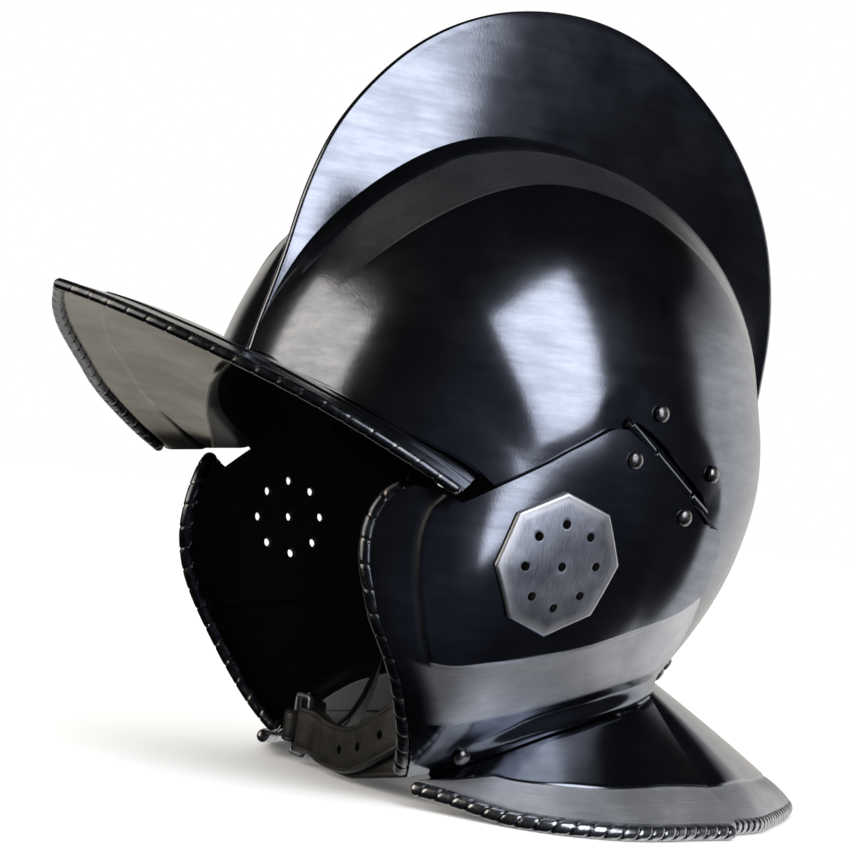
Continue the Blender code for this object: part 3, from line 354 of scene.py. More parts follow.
# Neck plates: (share along, share of rim_half_width, share of rim_back)
collar_rim = ((0.00, 0.520, -0.209), (0.08, 0.625, -0.172), (0.17, 0.745, -0.132),
              (0.27, 0.850, -0.082), (0.38, 0.930, -0.022), (0.50, 0.980, 0.055),
              (0.60, 1.000, 0.130), (0.72, 0.985, 0.225), (0.84, 0.945, 0.330), (1.00, 0.905, 0.455))
guard_rim = ((0.00, 0.855, 0.360), (0.12, 0.835, 0.450), (0.24, 0.785, 0.535), (0.36, 0.735, 0.610),
             (0.52, 0.600, 0.720), (0.68, 0.440, 0.840), (0.82, 0.270, 0.940), (0.92, 0.130, 0.985),
             (1.00, 0.000, 1.000))
# (share along, share of peak_half_width, share of peak_reach, share of peak_lift)
peak_edge = ((0.00, 0.000, 1.000, 1.00), (0.10, 0.105, 0.970, 0.93), (0.25, 0.255, 0.925, 0.81),
             (0.42, 0.430, 0.855, 0.63), (0.62, 0.655, 0.735, 0.33), (0.80, 0.830, 0.625, 0.03),
             (0.93, 0.950, 0.490, -0.33), (1.00, 0.985, 0.405, -0.55))


# Materials


def hex_colour(code):
    """An sRGB hex colour as linear red, green, blue and alpha."""
    parts = [int(code[k:k + 2], 16) / 255 for k in (1, 3, 5)]
    return tuple(p / 12.92 if p <= 0.04045 else ((p + 0.055) / 1.055) ** 2.4 for p in parts) + (1.0,)


def new_material(name, metallic=0.0):
    mat = bpy.data.materials.new(name)
    mat.use_nodes = True
    tree = mat.node_tree
    shader = tree.nodes["Principled BSDF"]
    shader.inputs["Metallic"].default_value = metallic
    return mat, tree, shader


def add(tree, kind, links=None, **settings):
    """Add a node; settings starting with an underscore are its own properties, others its sockets."""
    node = tree.nodes.new(kind)
    for key, value in settings.items():
        if key.startswith("_"):
            setattr(node, key[1:], value)
        else:
            node.inputs[int(key[1:]) if key[1:].isdigit() else key.replace("__", " ")].default_value = value
    for socket, source in (links or {}).items():
        tree.links.new(source, node.inputs[socket])
    return node


def ramp(tree, source, stops):
    node = add(tree, "ShaderNodeValToRGB", {0: source})
    for k, (place, colour) in enumerate(stops):
        stop = node.color_ramp.elements[k] if k < 2 else node.color_ramp.elements.new(place)
        stop.position = place
        stop.color = hex_colour(colour) if isinstance(colour, str) else (colour, colour, colour, 1)
    return node.outputs[0]


def feed(tree, node, values):
    """Link or set a node's sockets from pairs of a socket and its source or value."""
    for socket, value in values:
        if isinstance(value, bpy.types.NodeSocket):
            tree.links.new(value, node.inputs[socket])
        else:
            node.inputs[socket].default_value = value


def mixed(tree, share, first, second):
    node = add(tree, "ShaderNodeMix", _data_type="RGBA")
    feed(tree, node, ((0, share), (6, first), (7, second)))
    return node.outputs[2]


def mathed(tree, operation, *values):
    node = add(tree, "ShaderNodeMath", _operation=operation)
    feed(tree, node, enumerate(values))
    return node.outputs[0]


def drawn_grain(tree, source, per_metre, detail, turn=(0.0, 0.0, 0.0), roughness=0.5):
    """Noise drawn out into strokes: per_metre says how often it changes along each axis."""
    drawn = add(tree, "ShaderNodeMapping", {0: source}, Scale=per_metre, Rotation=turn)
    return add(tree, "ShaderNodeTexNoise", {0: drawn.outputs[0]}, Scale=1.0, Detail=detail,
               Roughness=roughness).outputs[0]


def surfaced(tree, shader, tone, rough, height, strength, depth=0.0003):
    """Give a shader its colour, roughness and fine relief."""
    bump = add(tree, "ShaderNodeBump", {"Height": height}, Strength=strength, Distance=depth)
    feed(tree, shader, (("Base Color", tone), ("Roughness", rough), ("Normal", bump.outputs[0])))


def armour_steel(name, tones, rubbed=(0.36, "#a3a5ab", "#d3d4d9"), painted_root=False):
    """Mild steel, hand polished over a blue-black heat finish: a near mirror that shows fine
    polishing scratches and cloudy patches. The bands, read from the piece's attribute
    satin, are rubbed back to grey with a coarse abrasive, so they are lighter and
    show its grain. The same attribute paints highlight lines in those light tones along the panels' steps.

    tones are the plate's darkest and lightest colours, rubbed the bands' roughness and colours.
    """
    mat, tree, shader = new_material(name, 1.0)
    place = add(tree, "ShaderNodeTexCoord")
    satin = add(tree, "ShaderNodeAttribute", _attribute_name="satin").outputs["Fac"]
    # Abrasive grain along the piece's own U, in lines 0.4 mm apart
    grain = drawn_grain(tree, place.outputs["UV"], (60, 2600, 1), 3.0)
    # Cloudy polish, in patches of about 25 mm
    cloud = add(tree, "ShaderNodeTexNoise", {0: place.outputs["Object"]}, Scale=38.0, Detail=5.0,
                Roughness=0.6).outputs[0]
    # Fine scratches from polishing, 0.7 mm apart
    scratch = drawn_grain(tree, place.outputs["Object"], (260, 1500, 700), 2.0, (0.3, 0.5, 0.2))
    # Streaks left by the polishing wheel, 4 mm wide and slanting across the plate
    streak = drawn_grain(tree, place.outputs["Object"], (90, 34, 260), 4.0, (0.75, 0.0, 0.0), 0.6)
    patches = ramp(tree, mathed(tree, "MULTIPLY", cloud, streak), ((0.16, 0.0), (0.36, 1.0)))
    dark = mixed(tree, patches, hex_colour(tones[0]), hex_colour(tones[1]))
    light = mixed(tree, ramp(tree, grain, ((0.3, 0.0), (0.7, 1.0))),
                  hex_colour(rubbed[1]), hex_colour(rubbed[2]))
    # The light tones are rubbed grey on the bands, and a painted highlight along the panels' steps
    worn = mathed(tree, "MULTIPLY", satin, ramp(tree, cloud, ((0.38, 0.72), (0.62, 1.0))))
    tone = mixed(tree, worn, dark, light)
    rough_dark = mathed(tree, "MULTIPLY_ADD", cloud, 0.10, 0.11)
    rough_light = mathed(tree, "MULTIPLY_ADD", grain, 0.16, rubbed[0])
    rough = mixed(tree, satin, rough_dark, rough_light)
    if painted_root:
        # The inside's black paint ends on a curve across the peak's root
        apart = add(tree, "ShaderNodeSeparateXYZ", {0: place.outputs["Object"]})
        bowed = mathed(tree, "MULTIPLY", apart.outputs["X"], apart.outputs["X"])
        inner = mathed(tree, "MULTIPLY_ADD", bowed, paint_edge_bow, apart.outputs["Y"])
        painted = add(tree, "ShaderNodeMapRange", {0: inner}, k1=paint_edge_y,
                      k2=paint_edge_y + paint_edge_fade).outputs[0]
        tone = mixed(tree, painted, tone, hex_colour("#0b0b0c"))
        rough = mixed(tree, painted, rough, (0.5, 0.5, 0.5, 1.0))
        tree.links.new(mathed(tree, "SUBTRACT", 1.0, painted), shader.inputs["Metallic"])
    surfaced(tree, shader, tone, rough, mixed(tree, satin, scratch, grain), 0.05)
    return mat


def inside_paint():
    """Black brushed oil paint on the inside of the plates: nearly matt, with low brush marks
    3 mm wide."""
    mat, tree, shader = new_material("black_brushed_paint")
    place = add(tree, "ShaderNodeTexCoord")
    marks = drawn_grain(tree, place.outputs["Object"], (300, 300, 60), 3.0)
    tone = mixed(tree, marks, hex_colour("#0a0a0b"), hex_colour("#151516"))
    shader.inputs["Specular IOR Level"].default_value = 0.25
    surfaced(tree, shader, tone, 0.55, marks, 0.2)
    return mat


def bright_steel_finish():
    """Bare mild steel, brushed by hand: light grey, with crossed grain and darker handling marks.
    Its rim, read from the attribute satin, carries a painted highlight in a lighter grey."""
    mat, tree, shader = new_material("brushed_bare_steel", 1.0)
    place = add(tree, "ShaderNodeTexCoord")
    grain = drawn_grain(tree, place.outputs["Object"], (300, 2200, 260), 4.0, (0.7, 0.0, 0.0))
    cloud = add(tree, "ShaderNodeTexNoise", {0: place.outputs["Object"]}, Scale=70.0, Detail=4.0).outputs[0]
    both = mathed(tree, "MULTIPLY_ADD", grain, 0.45, mathed(tree, "MULTIPLY", cloud, 0.65))
    rim = add(tree, "ShaderNodeAttribute", _attribute_name="satin").outputs["Fac"]
    # The rim's lighter grey is a painted highlight
    tone = mixed(tree, rim, ramp(tree, both, ((0.36, "#686c78"), (0.72, "#a9adb8"))), hex_colour("#d6d7da"))
    surfaced(tree, shader, tone, mathed(tree, "MULTIPLY_ADD", cloud, 0.2, 0.34), grain, 0.25)
    return mat


def harness_leather():
    """Black waxed harness leather: pebbled grain about 1 mm across, a soft waxy sheen and
    patches that show a little brown."""
    mat, tree, shader = new_material("black_waxed_leather")
    place = add(tree, "ShaderNodeTexCoord")
    pebble = add(tree, "ShaderNodeTexVoronoi", {0: place.outputs["Object"]}, Scale=900.0).outputs[0]
    wear = add(tree, "ShaderNodeTexNoise", {0: place.outputs["Object"]}, Scale=120.0, Detail=5.0).outputs[0]
    tone = ramp(tree, wear, ((0.35, "#0d0c0c"), (0.68, "#1a1817")))
    height = mathed(tree, "MULTIPLY_ADD", pebble, 0.6, wear)
    surfaced(tree, shader, tone, mathed(tree, "MULTIPLY_ADD", wear, 0.25, 0.38), height, 0.35, 0.0004)
    return mat


def roll_steel(name, face, notch):
    """The rolled edges: the same steel, less polished than the plates, since a cloth wheel rides
    over them, with notches filed across. The two tones are the roll's face and its notches; a dark notch tone
    is painted shade in the cuts."""
    mat, tree, shader = new_material(name, 1.0)
    place = add(tree, "ShaderNodeTexCoord")
    filed = add(tree, "ShaderNodeAttribute", _attribute_name="satin").outputs["Fac"]
    wear = add(tree, "ShaderNodeTexNoise", {0: place.outputs["Object"]}, Scale=240.0, Detail=4.0).outputs[0]
    rubbed = ramp(tree, wear, ((0.50, 0.0), (0.68, 0.5)))
    # Notches and noisy patches take the second tone: bare filed metal on the cheeks' and peak's rolls, and on
    # the roped rims a dark tone that is painted shade in the cuts
    bare = mathed(tree, "MAXIMUM", ramp(tree, filed, ((0.35, 0.0), (0.9, 1.0))), rubbed)
    tone = mixed(tree, bare, hex_colour(face), hex_colour(notch))
    surfaced(tree, shader, tone, mathed(tree, "MULTIPLY_ADD", wear, 0.25, 0.14), wear, 0.25)
    return mat


def rivet_finish():
    """Mild steel rivet heads, blackened and worn bright in patches by polishing."""
    mat, tree, shader = new_material("worn_rivet_steel", 1.0)
    place = add(tree, "ShaderNodeTexCoord")
    cloud = add(tree, "ShaderNodeTexNoise", {0: place.outputs["Object"]}, Scale=420.0, Detail=4.0).outputs[0]
    tone = ramp(tree, cloud, ((0.35, "#55555a"), (0.65, "#8f8d89")))
    surfaced(tree, shader, tone, mathed(tree, "MULTIPLY_ADD", cloud, 0.25, 0.15), cloud, 0.4)
    return mat


# The painted root of the peak's underside: its edge's place in Y, its bow per metre and its fade
paint_edge_y = -106 * MM
paint_edge_bow = -3.9
paint_edge_fade = 2 * MM

blue_black = ("#646871", "#777b84")
steel = armour_steel("polished_blue_black_steel", blue_black)
banded_steel = armour_steel("polished_steel_with_rubbed_bands", blue_black, (0.46, "#bdbfc3", "#e6e7ea"))
# The peak's underside: the same steel in warm grey tones, which are a painted reflection of the pale floor;
# its root is painted black
peak_underside_painted_reflection = armour_steel("steel_painted_floor_reflection", ("#68655e", "#7d7a72"), painted_root=True)
filed_steel = roll_steel("blackened_filed_steel", "#54575e", "#8d8c8a")
# The roped rims: a light grey face, with the notches painted dark as painted shade in the cuts
rope_rim_steel_notch_shade = roll_steel("light_rope_rim_steel_painted_notch_shade", "#a4a6ab", "#2a2b2e")
paint = inside_paint()
bare_steel = bright_steel_finish()
leather = harness_leather()
rivet_steel = rivet_finish()


# Making pieces

weld = 0.00001
sharp_angle = radians(38)
roll_step = 0.55 * MM
roll_sides = 20
# Notches of the rolled edges: how far apart they are, and as (pitches that a notch moves along in
# one turn of the roll, depth, half width) how each is cut
cheek_pitch = 9.0 * MM
peak_pitch = 9.5 * MM
collar_pitch = 6.6 * MM
guard_pitch = 5.0 * MM
cheek_notch = (0.6, 0.45 * MM, 0.7 * MM)
peak_notch = (0.6, 0.3 * MM, 0.65 * MM)
rim_notch = (1.2, 0.55 * MM, 0.75 * MM)


def grid_sheet(across, down, place, finish=None):
    """A sheet from a flat grid whose points are moved to their places.

    across and down list the shares at its columns and rows. place gives a point for a pair of
    shares, finish its value of satin: how far it is rubbed grey, and where highlights and shade are painted.
    The UV map holds the shares times the sheet's size.
    """
    bm = bmesh.new()
    flat = bm.loops.layers.uv.new("UVMap")
    satin = bm.verts.layers.float.new("satin")
    bmesh.ops.create_grid(bm, x_segments=len(across) - 1, y_segments=len(down) - 1, size=0.5)
    cells = {}
    for vert in bm.verts:
        i = round((vert.co.x + 0.5) * (len(across) - 1))
        j = round((vert.co.y + 0.5) * (len(down) - 1))
        cells[vert] = (across[i], down[j])
    for vert, (u, v) in cells.items():
        vert.co = place(u, v)
        vert[satin] = finish(u, v) if finish else 0.0
    size = max((v.co - w.co).length for v in list(bm.verts)[:1] for w in bm.verts)
    for face in bm.faces:
        for loop in face.loops:
            u, v = cells[loop.vert]
            loop[flat].uv = (u * size, v * size)
        face.smooth = True
    return bm


def face_outwards(bm, inside):
    """Turn an open sheet so that its faces look away from a point."""
    bm.normal_update()
    score = sum((f.calc_center_median() - inside).dot(f.normal) * f.calc_area() for f in bm.faces)
    if score < 0:
        bmesh.ops.reverse_faces(bm, faces=bm.faces)


def closed(bm):
    """Close a skin: merge its doubles, fill its open ends, and turn its faces out, all smooth."""
    bmesh.ops.remove_doubles(bm, verts=bm.verts, dist=weld)
    bmesh.ops.holes_fill(bm, edges=[e for e in bm.edges if e.is_boundary], sides=0)
    bmesh.ops.recalc_face_normals(bm, faces=bm.faces)
    for face in bm.faces:
        face.smooth = True


def to_object(name, bm, materials):
    mesh = bpy.data.meshes.new(name)
    bm.normal_update()
    bm.to_mesh(mesh)
    bm.free()
    for mat in materials:
        mesh.materials.append(mat)
    item = bpy.data.objects.new(name, mesh)
    bpy.context.scene.collection.objects.link(item)
    return item


def applied(item):
    """Apply a piece's modifiers."""
    graph = bpy.context.evaluated_depsgraph_get()
    mesh = bpy.data.meshes.new_from_object(item.evaluated_get(graph))
    item.modifiers.clear()
    item.data = mesh
    return item


def thicken(item, thickness, shift=1):
    """Give a sheet its wall, on the side its faces look away from, with the next material inside."""
    wall = item.modifiers.new("wall", "SOLIDIFY")
    wall.thickness = thickness
    wall.offset = -1.0
    wall.use_even_offset = False
    wall.material_offset = shift
    wall.material_offset_rim = 0
    return applied(item)


def drilled(item, drills):
    """Cut holes with drills, whose own paint stays on the holes' walls."""
    for drill in drills:
        cut = item.modifiers.new("hole", "BOOLEAN")
        cut.operation = "DIFFERENCE"
        cut.object = drill
        cut.solver = "EXACT"
        cut.material_mode = "TRANSFER"
        applied(item)
    return item


def rounded_holes(item, size):
    """Round the edges where a drilled hole meets the face."""
    bm = bmesh.new()
    bm.from_mesh(item.data)
    bmesh.ops.dissolve_degenerate(bm, edges=bm.edges, dist=weld)
    edges = [e for e in bm.edges if len({f.material_index for f in e.link_faces}) == 2]
    bmesh.ops.bevel(bm, geom=edges, offset=size, offset_type="OFFSET", affect="EDGES", segments=2,
                    profile=0.5, material=0, clamp_overlap=True)
    bm.to_mesh(item.data)
    bm.free()
    return item


def remove(items):
    for item in items:
        bpy.data.objects.remove(item)


def drill_pin(base, axis, radius, first, last, sides=28):
    """A round cutter from one height to another along an axis."""
    bm = bmesh.new()
    bmesh.ops.create_cone(bm, cap_ends=True, segments=sides, radius1=radius, radius2=radius,
                          depth=last - first)
    turn = Vector((0, 0, 1)).rotation_difference(axis.normalized()).to_matrix().to_4x4()
    middle = base + axis.normalized() * (first + last) / 2
    bmesh.ops.transform(bm, matrix=Matrix.Translation(middle) @ turn, verts=bm.verts)
    return to_object("drill", bm, [paint])


def joined(name, items):
    """Join several finished meshes into one piece."""
    bm = bmesh.new()
    materials = []
    for item in items:
        start = len(bm.faces)
        bm.from_mesh(item.data)
        bm.faces.ensure_lookup_table()
        slots = []
        for mat in item.data.materials:
            if mat not in materials:
                materials.append(mat)
            slots.append(materials.index(mat))
        for face in bm.faces[start:]:
            face.material_index = slots[min(face.material_index, len(slots) - 1)]
    for item in items:
        bpy.data.objects.remove(item)
    piece = to_object(name, bm, materials)
    piece.data.set_sharp_from_angle(angle=sharp_angle)
    return piece


def mirrored_copy(item, name):
    """The right side's piece from the left one."""
    bm = bmesh.new()
    bm.from_mesh(item.data)
    bmesh.ops.transform(bm, matrix=Matrix.Scale(-1, 4, (1, 0, 0)), verts=bm.verts)
    bmesh.ops.reverse_faces(bm, faces=bm.faces)
    piece = to_object(name, bm, list(item.data.materials))
    piece.data.set_sharp_from_angle(angle=sharp_angle)
    return piece


def settle(piece, slot, *nodes):
    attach(piece, "root")
    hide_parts(*nodes)


def settle_pair(left, slot, node):
    """Let a left piece and its mirror image take the place of a node on each side."""
    settle(left, slot, node + "_left")
    settle(mirrored_copy(left, left.name.removesuffix("left") + "right"), slot, node + "_right")


def spread(first, last, count):
    """Even steps from first to last, both ends included."""
    return [first + (last - first) * k / count for k in range(count + 1)]


def roped_roll(path, guides, radius, pitch, notch):
    """A rolled edge round a wire, filed with slanting notches that look like a rope's strands.

    path holds the middle of the roll, guides the direction that points to its outside. The notches
    are about a pitch apart. notch gives how many pitches a notch moves along in one turn of the
    roll, its depth and its half width.
    """
    slant, depth, width = notch
    lengths = [0.0]
    for a, b in zip(path, path[1:]):
        lengths.append(lengths[-1] + (b - a).length)
    total = lengths[-1]
    pitch = total / round(total / pitch)
    stations = max(int(total / roll_step), 8)

    def middle(at):
        """The roll's middle at a length, with its guide and the direction ahead."""
        k = min(max(bisect_right(lengths, at) - 1, 0), len(lengths) - 2)
        t = (at - lengths[k]) / max(lengths[k + 1] - lengths[k], 1e-9)
        before = path[max(k - 1, 0)]
        after = path[min(k + 2, len(path) - 1)]
        ahead = (path[k + 1] - path[k]).normalized()
        ahead = ahead.lerp((after - before).normalized(), 0.5)
        return path[k].lerp(path[k + 1], t), guides[k].lerp(guides[k + 1], t), ahead.normalized()

    def from_notch(u, v):
        """Length along the roll to the nearest notch."""
        turn = ((v + 0.5) % 1.0) - 0.5
        phase = (u * total / pitch + turn * slant) % 1.0
        return min(phase, 1 - phase) * pitch

    def place(u, v):
        at = u * total
        centre, guide, ahead = middle(min(max(at, 0.0), total))
        side = (guide - ahead * guide.dot(ahead)).normalized()
        other = ahead.cross(side)
        size = radius - depth * max(1 - (from_notch(u, v) / width) ** 2, 0.0)
        end = min(at, total - at)
        if end < radius:
            size *= sqrt(max(1 - (1 - end / radius) ** 2, 0.0)) * 0.98 + 0.02
        angle = 2 * pi * v
        return centre + (side * cos(angle) + other * sin(angle)) * size

    def finish(u, v):
        # Marks the notches: bare filed metal on the filed rolls, painted shade on the roped rims
        return max(1 - (from_notch(u, v) / (width * 1.1)) ** 2, 0.0)

    bm = grid_sheet(spread(0.0, 1.0, stations), spread(0.0, 1.0, roll_sides), place, finish)
    closed(bm)
    return bm


def rolled_edge(edge, inward, along, outside, radius):
    """The middle of the roll at a plate's edge, and the direction that points to its outside.

    inward points into the plate, along follows its edge, and outside tells its outer face.
    """
    normal = inward.cross(along).normalized()
    normal = normal if normal.dot(outside) > 0 else -normal
    inner = edge - normal * plate
    middle = (edge + inner) / 2
    across = (edge - inner).normalized()
    ahead = -(inward - across * inward.dot(across)).normalized()
    return middle + ahead * radius * 0.75 - across * (radius - plate / 2), (across + ahead).normalized()


# Skull

panel_ramp = 2.0 * MM


def skull_station(share):
    """What one station of the skull needs, worked out once."""
    middle = skull_point(median_unit(share))
    up = Vector((0, middle.y - middle_y, middle.z - middle_height)).normalized()
    height = comb_height(share)
    root = comb_root_half * smooth(height / comb_full_height) + comb_edge_half
    cove = max(table_value(skull_bands, share, 1) * skull_half_width, root * 1.6)
    edge = max(table_value(skull_bands, share, 2) * skull_half_width, cove + 6 * MM)
    root_drop = drop_at_half(share, root)
    return {"up": up, "height": height, "root": skull_point(skull_patch(share, root_drop)),
            "crest": middle + up * height, "half": min(comb_edge_half, root), "root_drop": root_drop,
            "cove_drop": drop_at_half(share, cove), "edge_drop": drop_at_half(share, edge),
            "hollow": comb_cove_depth * smooth(height / (0.10 * crown_rise)),
            "rise": panel_rise * smooth((share - 0.10) / 0.10)}


# The zones of the skull's half section, from the comb's edge down, as (name, rows of points)
skull_rows = (("edge", 4), ("flank", 16), ("cove", 8), ("band", 9), ("step", 5), ("panel", 40))


def build_skull():
    shares = spread(0.0, 1.0, 260)
    kept = {share: skull_station(share) for share in shares}
    half = []
    for k, (_, count) in enumerate(skull_rows):
        half += [k + t for t in spread(0.0, 1.0, count)[:-1]]
    half = half[1:] + [float(len(skull_rows))]
    across = [-d for d in reversed(half)] + [0.0] + half

    def place(signed, share):
        s = kept[share]
        down = abs(signed)
        k = min(int(down), len(skull_rows) - 1)
        zone = skull_rows[k][0]
        t = down - k
        crown = s["up"] * s["half"] * 0.6
        if zone == "edge":
            point = s["crest"] - crown * (1 - sqrt(max(1 - t * t, 0.0)))
            point.x = s["half"] * t
        elif zone == "flank":
            point = (s["crest"] - crown).lerp(s["root"], t)
            point.x = s["half"] + (s["root"].x - s["half"]) * t**1.4
        else:
            step_end = s["edge_drop"] + panel_ramp / (skull_half_width * 1.7)
            first, last, lift = {
                "cove": (s["root_drop"], s["cove_drop"], -s["hollow"] * sin(pi * t)),
                "band": (s["cove_drop"], s["edge_drop"], 0.0),
                "step": (s["edge_drop"], step_end, s["rise"] * smooth(t)),
                "panel": (step_end, 1.0, s["rise"] * min((1 - t) * 6, 1.0)),
            }[zone]
            unit = skull_patch(share, first + (last - first) * t)
            point = skull_point(unit) + (skull_normal(unit) * lift if lift else Vector())
        return flip(point, -1.0 if signed < 0 else 1.0)

    def finish(signed, share):
        """The band is rubbed grey, and its step gets a painted highlight; both fade at the brow and the back.
        """
        down = abs(signed)
        rubbed = 0.62 if 3.0 <= down <= 4.1 else 0.0
        # The step's bright line is a painted highlight
        rubbed = 1.0 if 4.1 < down <= 4.7 else rubbed
        worn_back = 1 - 0.7 * smooth((share - 0.42) / 0.2)
        return rubbed * worn_back * smooth((share - 0.10) / 0.10) * smooth((0.99 - share) / 0.05)

    bm = grid_sheet(across, shares, place, finish)
    face_outwards(bm, Vector((0, middle_y, middle_height)))
    skull = to_object("skull_dressed", bm, [steel, paint])
    return thicken(skull, plate)


hinge_ends = ((0.073, 0.083), (0.428, -0.176))
slot_radius = 2.5 * MM


def hinge_point(share):
    """A point on the left hinge's pin."""
    ends = [skull_point(unit_from_shares(*place)) for place in hinge_ends]
    push = skull_normal(unit_from_shares(*hinge_ends[0])) * 0.6 * MM
    return ends[0].lerp(ends[1], share) + push


def hinge_slot(sign):
    """The drill for the slot that a hinge's knuckles lie in."""
    first = flip(hinge_point(-0.035), sign)
    last = flip(hinge_point(1.03), sign)
    return drill_pin(first, last - first, slot_radius, 0.0, (last - first).length)


slots = [hinge_slot(1.0), hinge_slot(-1.0)]
settle(joined("steel_skull", [drilled(build_skull(), slots)]), "black_steel", "skull")


# Cheek pieces

# The low crease of the cheek, as (share_y, share_z)
cheek_crease = ((-0.45, -0.705), (-0.222, -0.698), (0.038, -0.677), (0.27, -0.643), (0.514, -0.61))
# Share of the way from the cheek's back to its front where the panel ends
panel_front = 0.89


def low_share(v):
    """Share down the cheek's low half, with rows closer at its hem."""
    return 1 - (1 - (v - 1)) ** 1.4


def build_cheek():
    """The left cheek's sheet and its roll. Shares down it are 0 to 1 on the panel, 1 to 2 below."""
    # Columns from the back to the front, closer at the panel's edge
    columns = spread(0.0, 0.86, 84) + spread(0.865, 0.895, 7) + spread(0.90, 1.0, 14)
    rows = spread(0.0, 0.97, 56) + spread(0.975, 1.0, 5) + spread(1.0, 2.0, 44)[1:]

    def place(u, v):
        if v <= 1.0:
            raised = panel_rise * smooth((panel_front - u) / 0.02) * smooth((1 - v) / 0.022)
            return cheek_point(*cheek_place(u, v, False), raised)
        point = cheek_point(*cheek_place(u, low_share(v), True))
        hem = cheek_point(*cheek_place(u, 1.0, True))
        point.x += hem_flare(1 - u, point.z - hem.z)
        return point

    def finish(u, v):
        """Painted highlight lines along the panel's step and, fainter, along its front edge; the band rubbed
        grey down to the crease.
        """
        if v <= 1.0:
            # A painted highlight along the panel's bottom step, and a fainter painted highlight along its
            # front edge
            line = smooth((v - 0.975) / 0.01) * smooth(u / 0.02) * smooth((0.885 - u) / 0.02)
            return max(line, 0.3 * smooth(1 - abs(u - 0.884) / 0.016))
        share_y, share_z = cheek_place(u, low_share(v), True)
        crease = table_value(cheek_crease, share_y, 1)
        return smooth((share_z - crease) / 0.012) * smooth((0.97 - u) / 0.1)

    bm = grid_sheet(columns, rows, place, finish)
    face_outwards(bm, Vector((0, middle_y, middle_height)))
    sheet = thicken(to_object("cheek_sheet", bm, [banded_steel, paint]), plate)
    path, guides = [], []
    for v in rows:
        edge = place(1.0, v)
        back = (place(0.985, v) - edge).normalized()
        up = place(1.0, max(v - 0.02, 0.0)) - place(1.0, min(v + 0.02, 2.0))
        centre, guide = rolled_edge(edge, back, up, edge - Vector((0, 0, middle_height)), cheek_roll_radius)
        path.append(centre)
        guides.append(guide)
    roll = roped_roll(path, guides, cheek_roll_radius, cheek_pitch, cheek_notch)
    return sheet, to_object("cheek_roll", roll, [filed_steel])


boss_centre = (-0.132, -0.284)
boss_turn = 5.0


def boss_point(radius, angle, lift):
    """A point over the cheek's panel, from its distance and angle round the boss's middle."""
    middle = side_view(*boss_centre)
    y = middle[0] + radius * cos(angle)
    z = middle[1] + radius * sin(angle)
    return cheek_point(*skull_shares(y, z), panel_rise + 2 * clearance + lift)


boss_normal = cheek_normal(*boss_centre)
sound_holes = [(0.0, 0.0)] + [(boss_hole_circle, radians(boss_turn + 45 * k)) for k in range(8)]
sound_drills, wide_drills = [
    [drill_pin(boss_point(*hole, 0.0), boss_normal, size, -6 * MM, 9 * MM) for hole in sound_holes]
    for size in (boss_hole_radius, boss_hole_radius + boss_hole_margin)]

cheek_sheet, cheek_roll = build_cheek()
drilled(cheek_sheet, slots[:1] + wide_drills)
settle_pair(joined("steel_cheek_left", [cheek_sheet, cheek_roll]), "black_steel", "cheek")


# Ear bosses

boss_lip = 0.1 * MM
hole_edge = 0.22 * MM


def build_boss():
    """An octagonal plate with a low dome and a thin rim."""
    rings = [0.0] + spread(0.06, 0.90, 12) + [0.93, 0.955, 0.975, 0.99, 1.0]
    turns = spread(0.0, 1.0, 96)

    def octagon(v, u):
        """Distance from the boss's middle at a share of the way out."""
        within = (degrees(2 * pi * u) % 45) - 22.5
        flat = cos(radians(22.5)) / cos(radians(within))
        return v * (1 + (flat - 1) * smooth((v - 0.15) / 0.6)) * boss_radius

    def face(v, u):
        lip = boss_lip * smooth((v - 0.93) / 0.03) * smooth((1.0 - v) / 0.02)
        edge = boss_edge * 0.5 * smooth((v - 0.985) / 0.015)
        lift = boss_edge + boss_dome * (1 - v**2) + lip - edge
        return boss_point(octagon(v, u), radians(boss_turn) + 2 * pi * u, lift)

    def back(v, u):
        return boss_point(octagon(v, u), radians(boss_turn) + 2 * pi * u, 0.0)

    def finish(v, u):
        # How far the rim's painted highlight reaches in, over the outer fifth of the boss
        return 0.9 * smooth((v - 0.80) / 0.2)

    bm = grid_sheet(rings, turns, face, finish)
    under = to_object("boss_back", grid_sheet(rings, turns, back), [bare_steel])
    bm.from_mesh(under.data)
    remove([under])
    bmesh.ops.remove_doubles(bm, verts=bm.verts, dist=2 * weld)
    bmesh.ops.bridge_loops(bm, edges=[e for e in bm.edges if e.is_boundary])
    closed(bm)
    return to_object("boss", bm, [bare_steel])


boss = rounded_holes(drilled(build_boss(), sound_drills), hole_edge)
settle_pair(joined("ear_plate_left", [boss]), "bright_steel", "ear_boss")
remove(sound_drills + wide_drills)


# Neck plates

# Rows of a neck plate that lie on the band beyond its step
band_rows = 11
step_width = 1.5 * MM


def flare_profile(neck, rim, rim_height, outward, hollow, under=0.0):
    """Outer points of a flared plate from the neck to its rim, with the band's step."""
    end = Vector((rim[0], rim[1], rim_height))
    start = neck + outward * (1.2 * MM - under) - Vector((0, 0, 1.9 * MM + under * 0.6))
    length = (end - start).length
    band = max(1 - band_width / length, 0.25)
    step = step_width / length
    shares = spread(0.0, band, 18) + spread(band + step * 0.25, band + step, 3)
    shares += spread(band + step, 1.0, 10)[1:]
    fall = (end - start).cross(Vector((-outward.y, outward.x, 0))).normalized()
    fall = fall if fall.z < 0 else -fall
    points = []
    for w in shares:
        sag = hollow * 4 * w * (1 - w) * min(length / (45 * MM), 1.0)
        drop = band_step * smooth((w - band) / step) * (1 - 0.5 * smooth((w - 0.9) / 0.1))
        swell = band_swell * sin(pi * min(max((w - band) / (1 - band), 0.0), 1.0))
        points.append(start.lerp(end, w) + fall * (sag + drop - swell + under * (1 - w)))
    return points


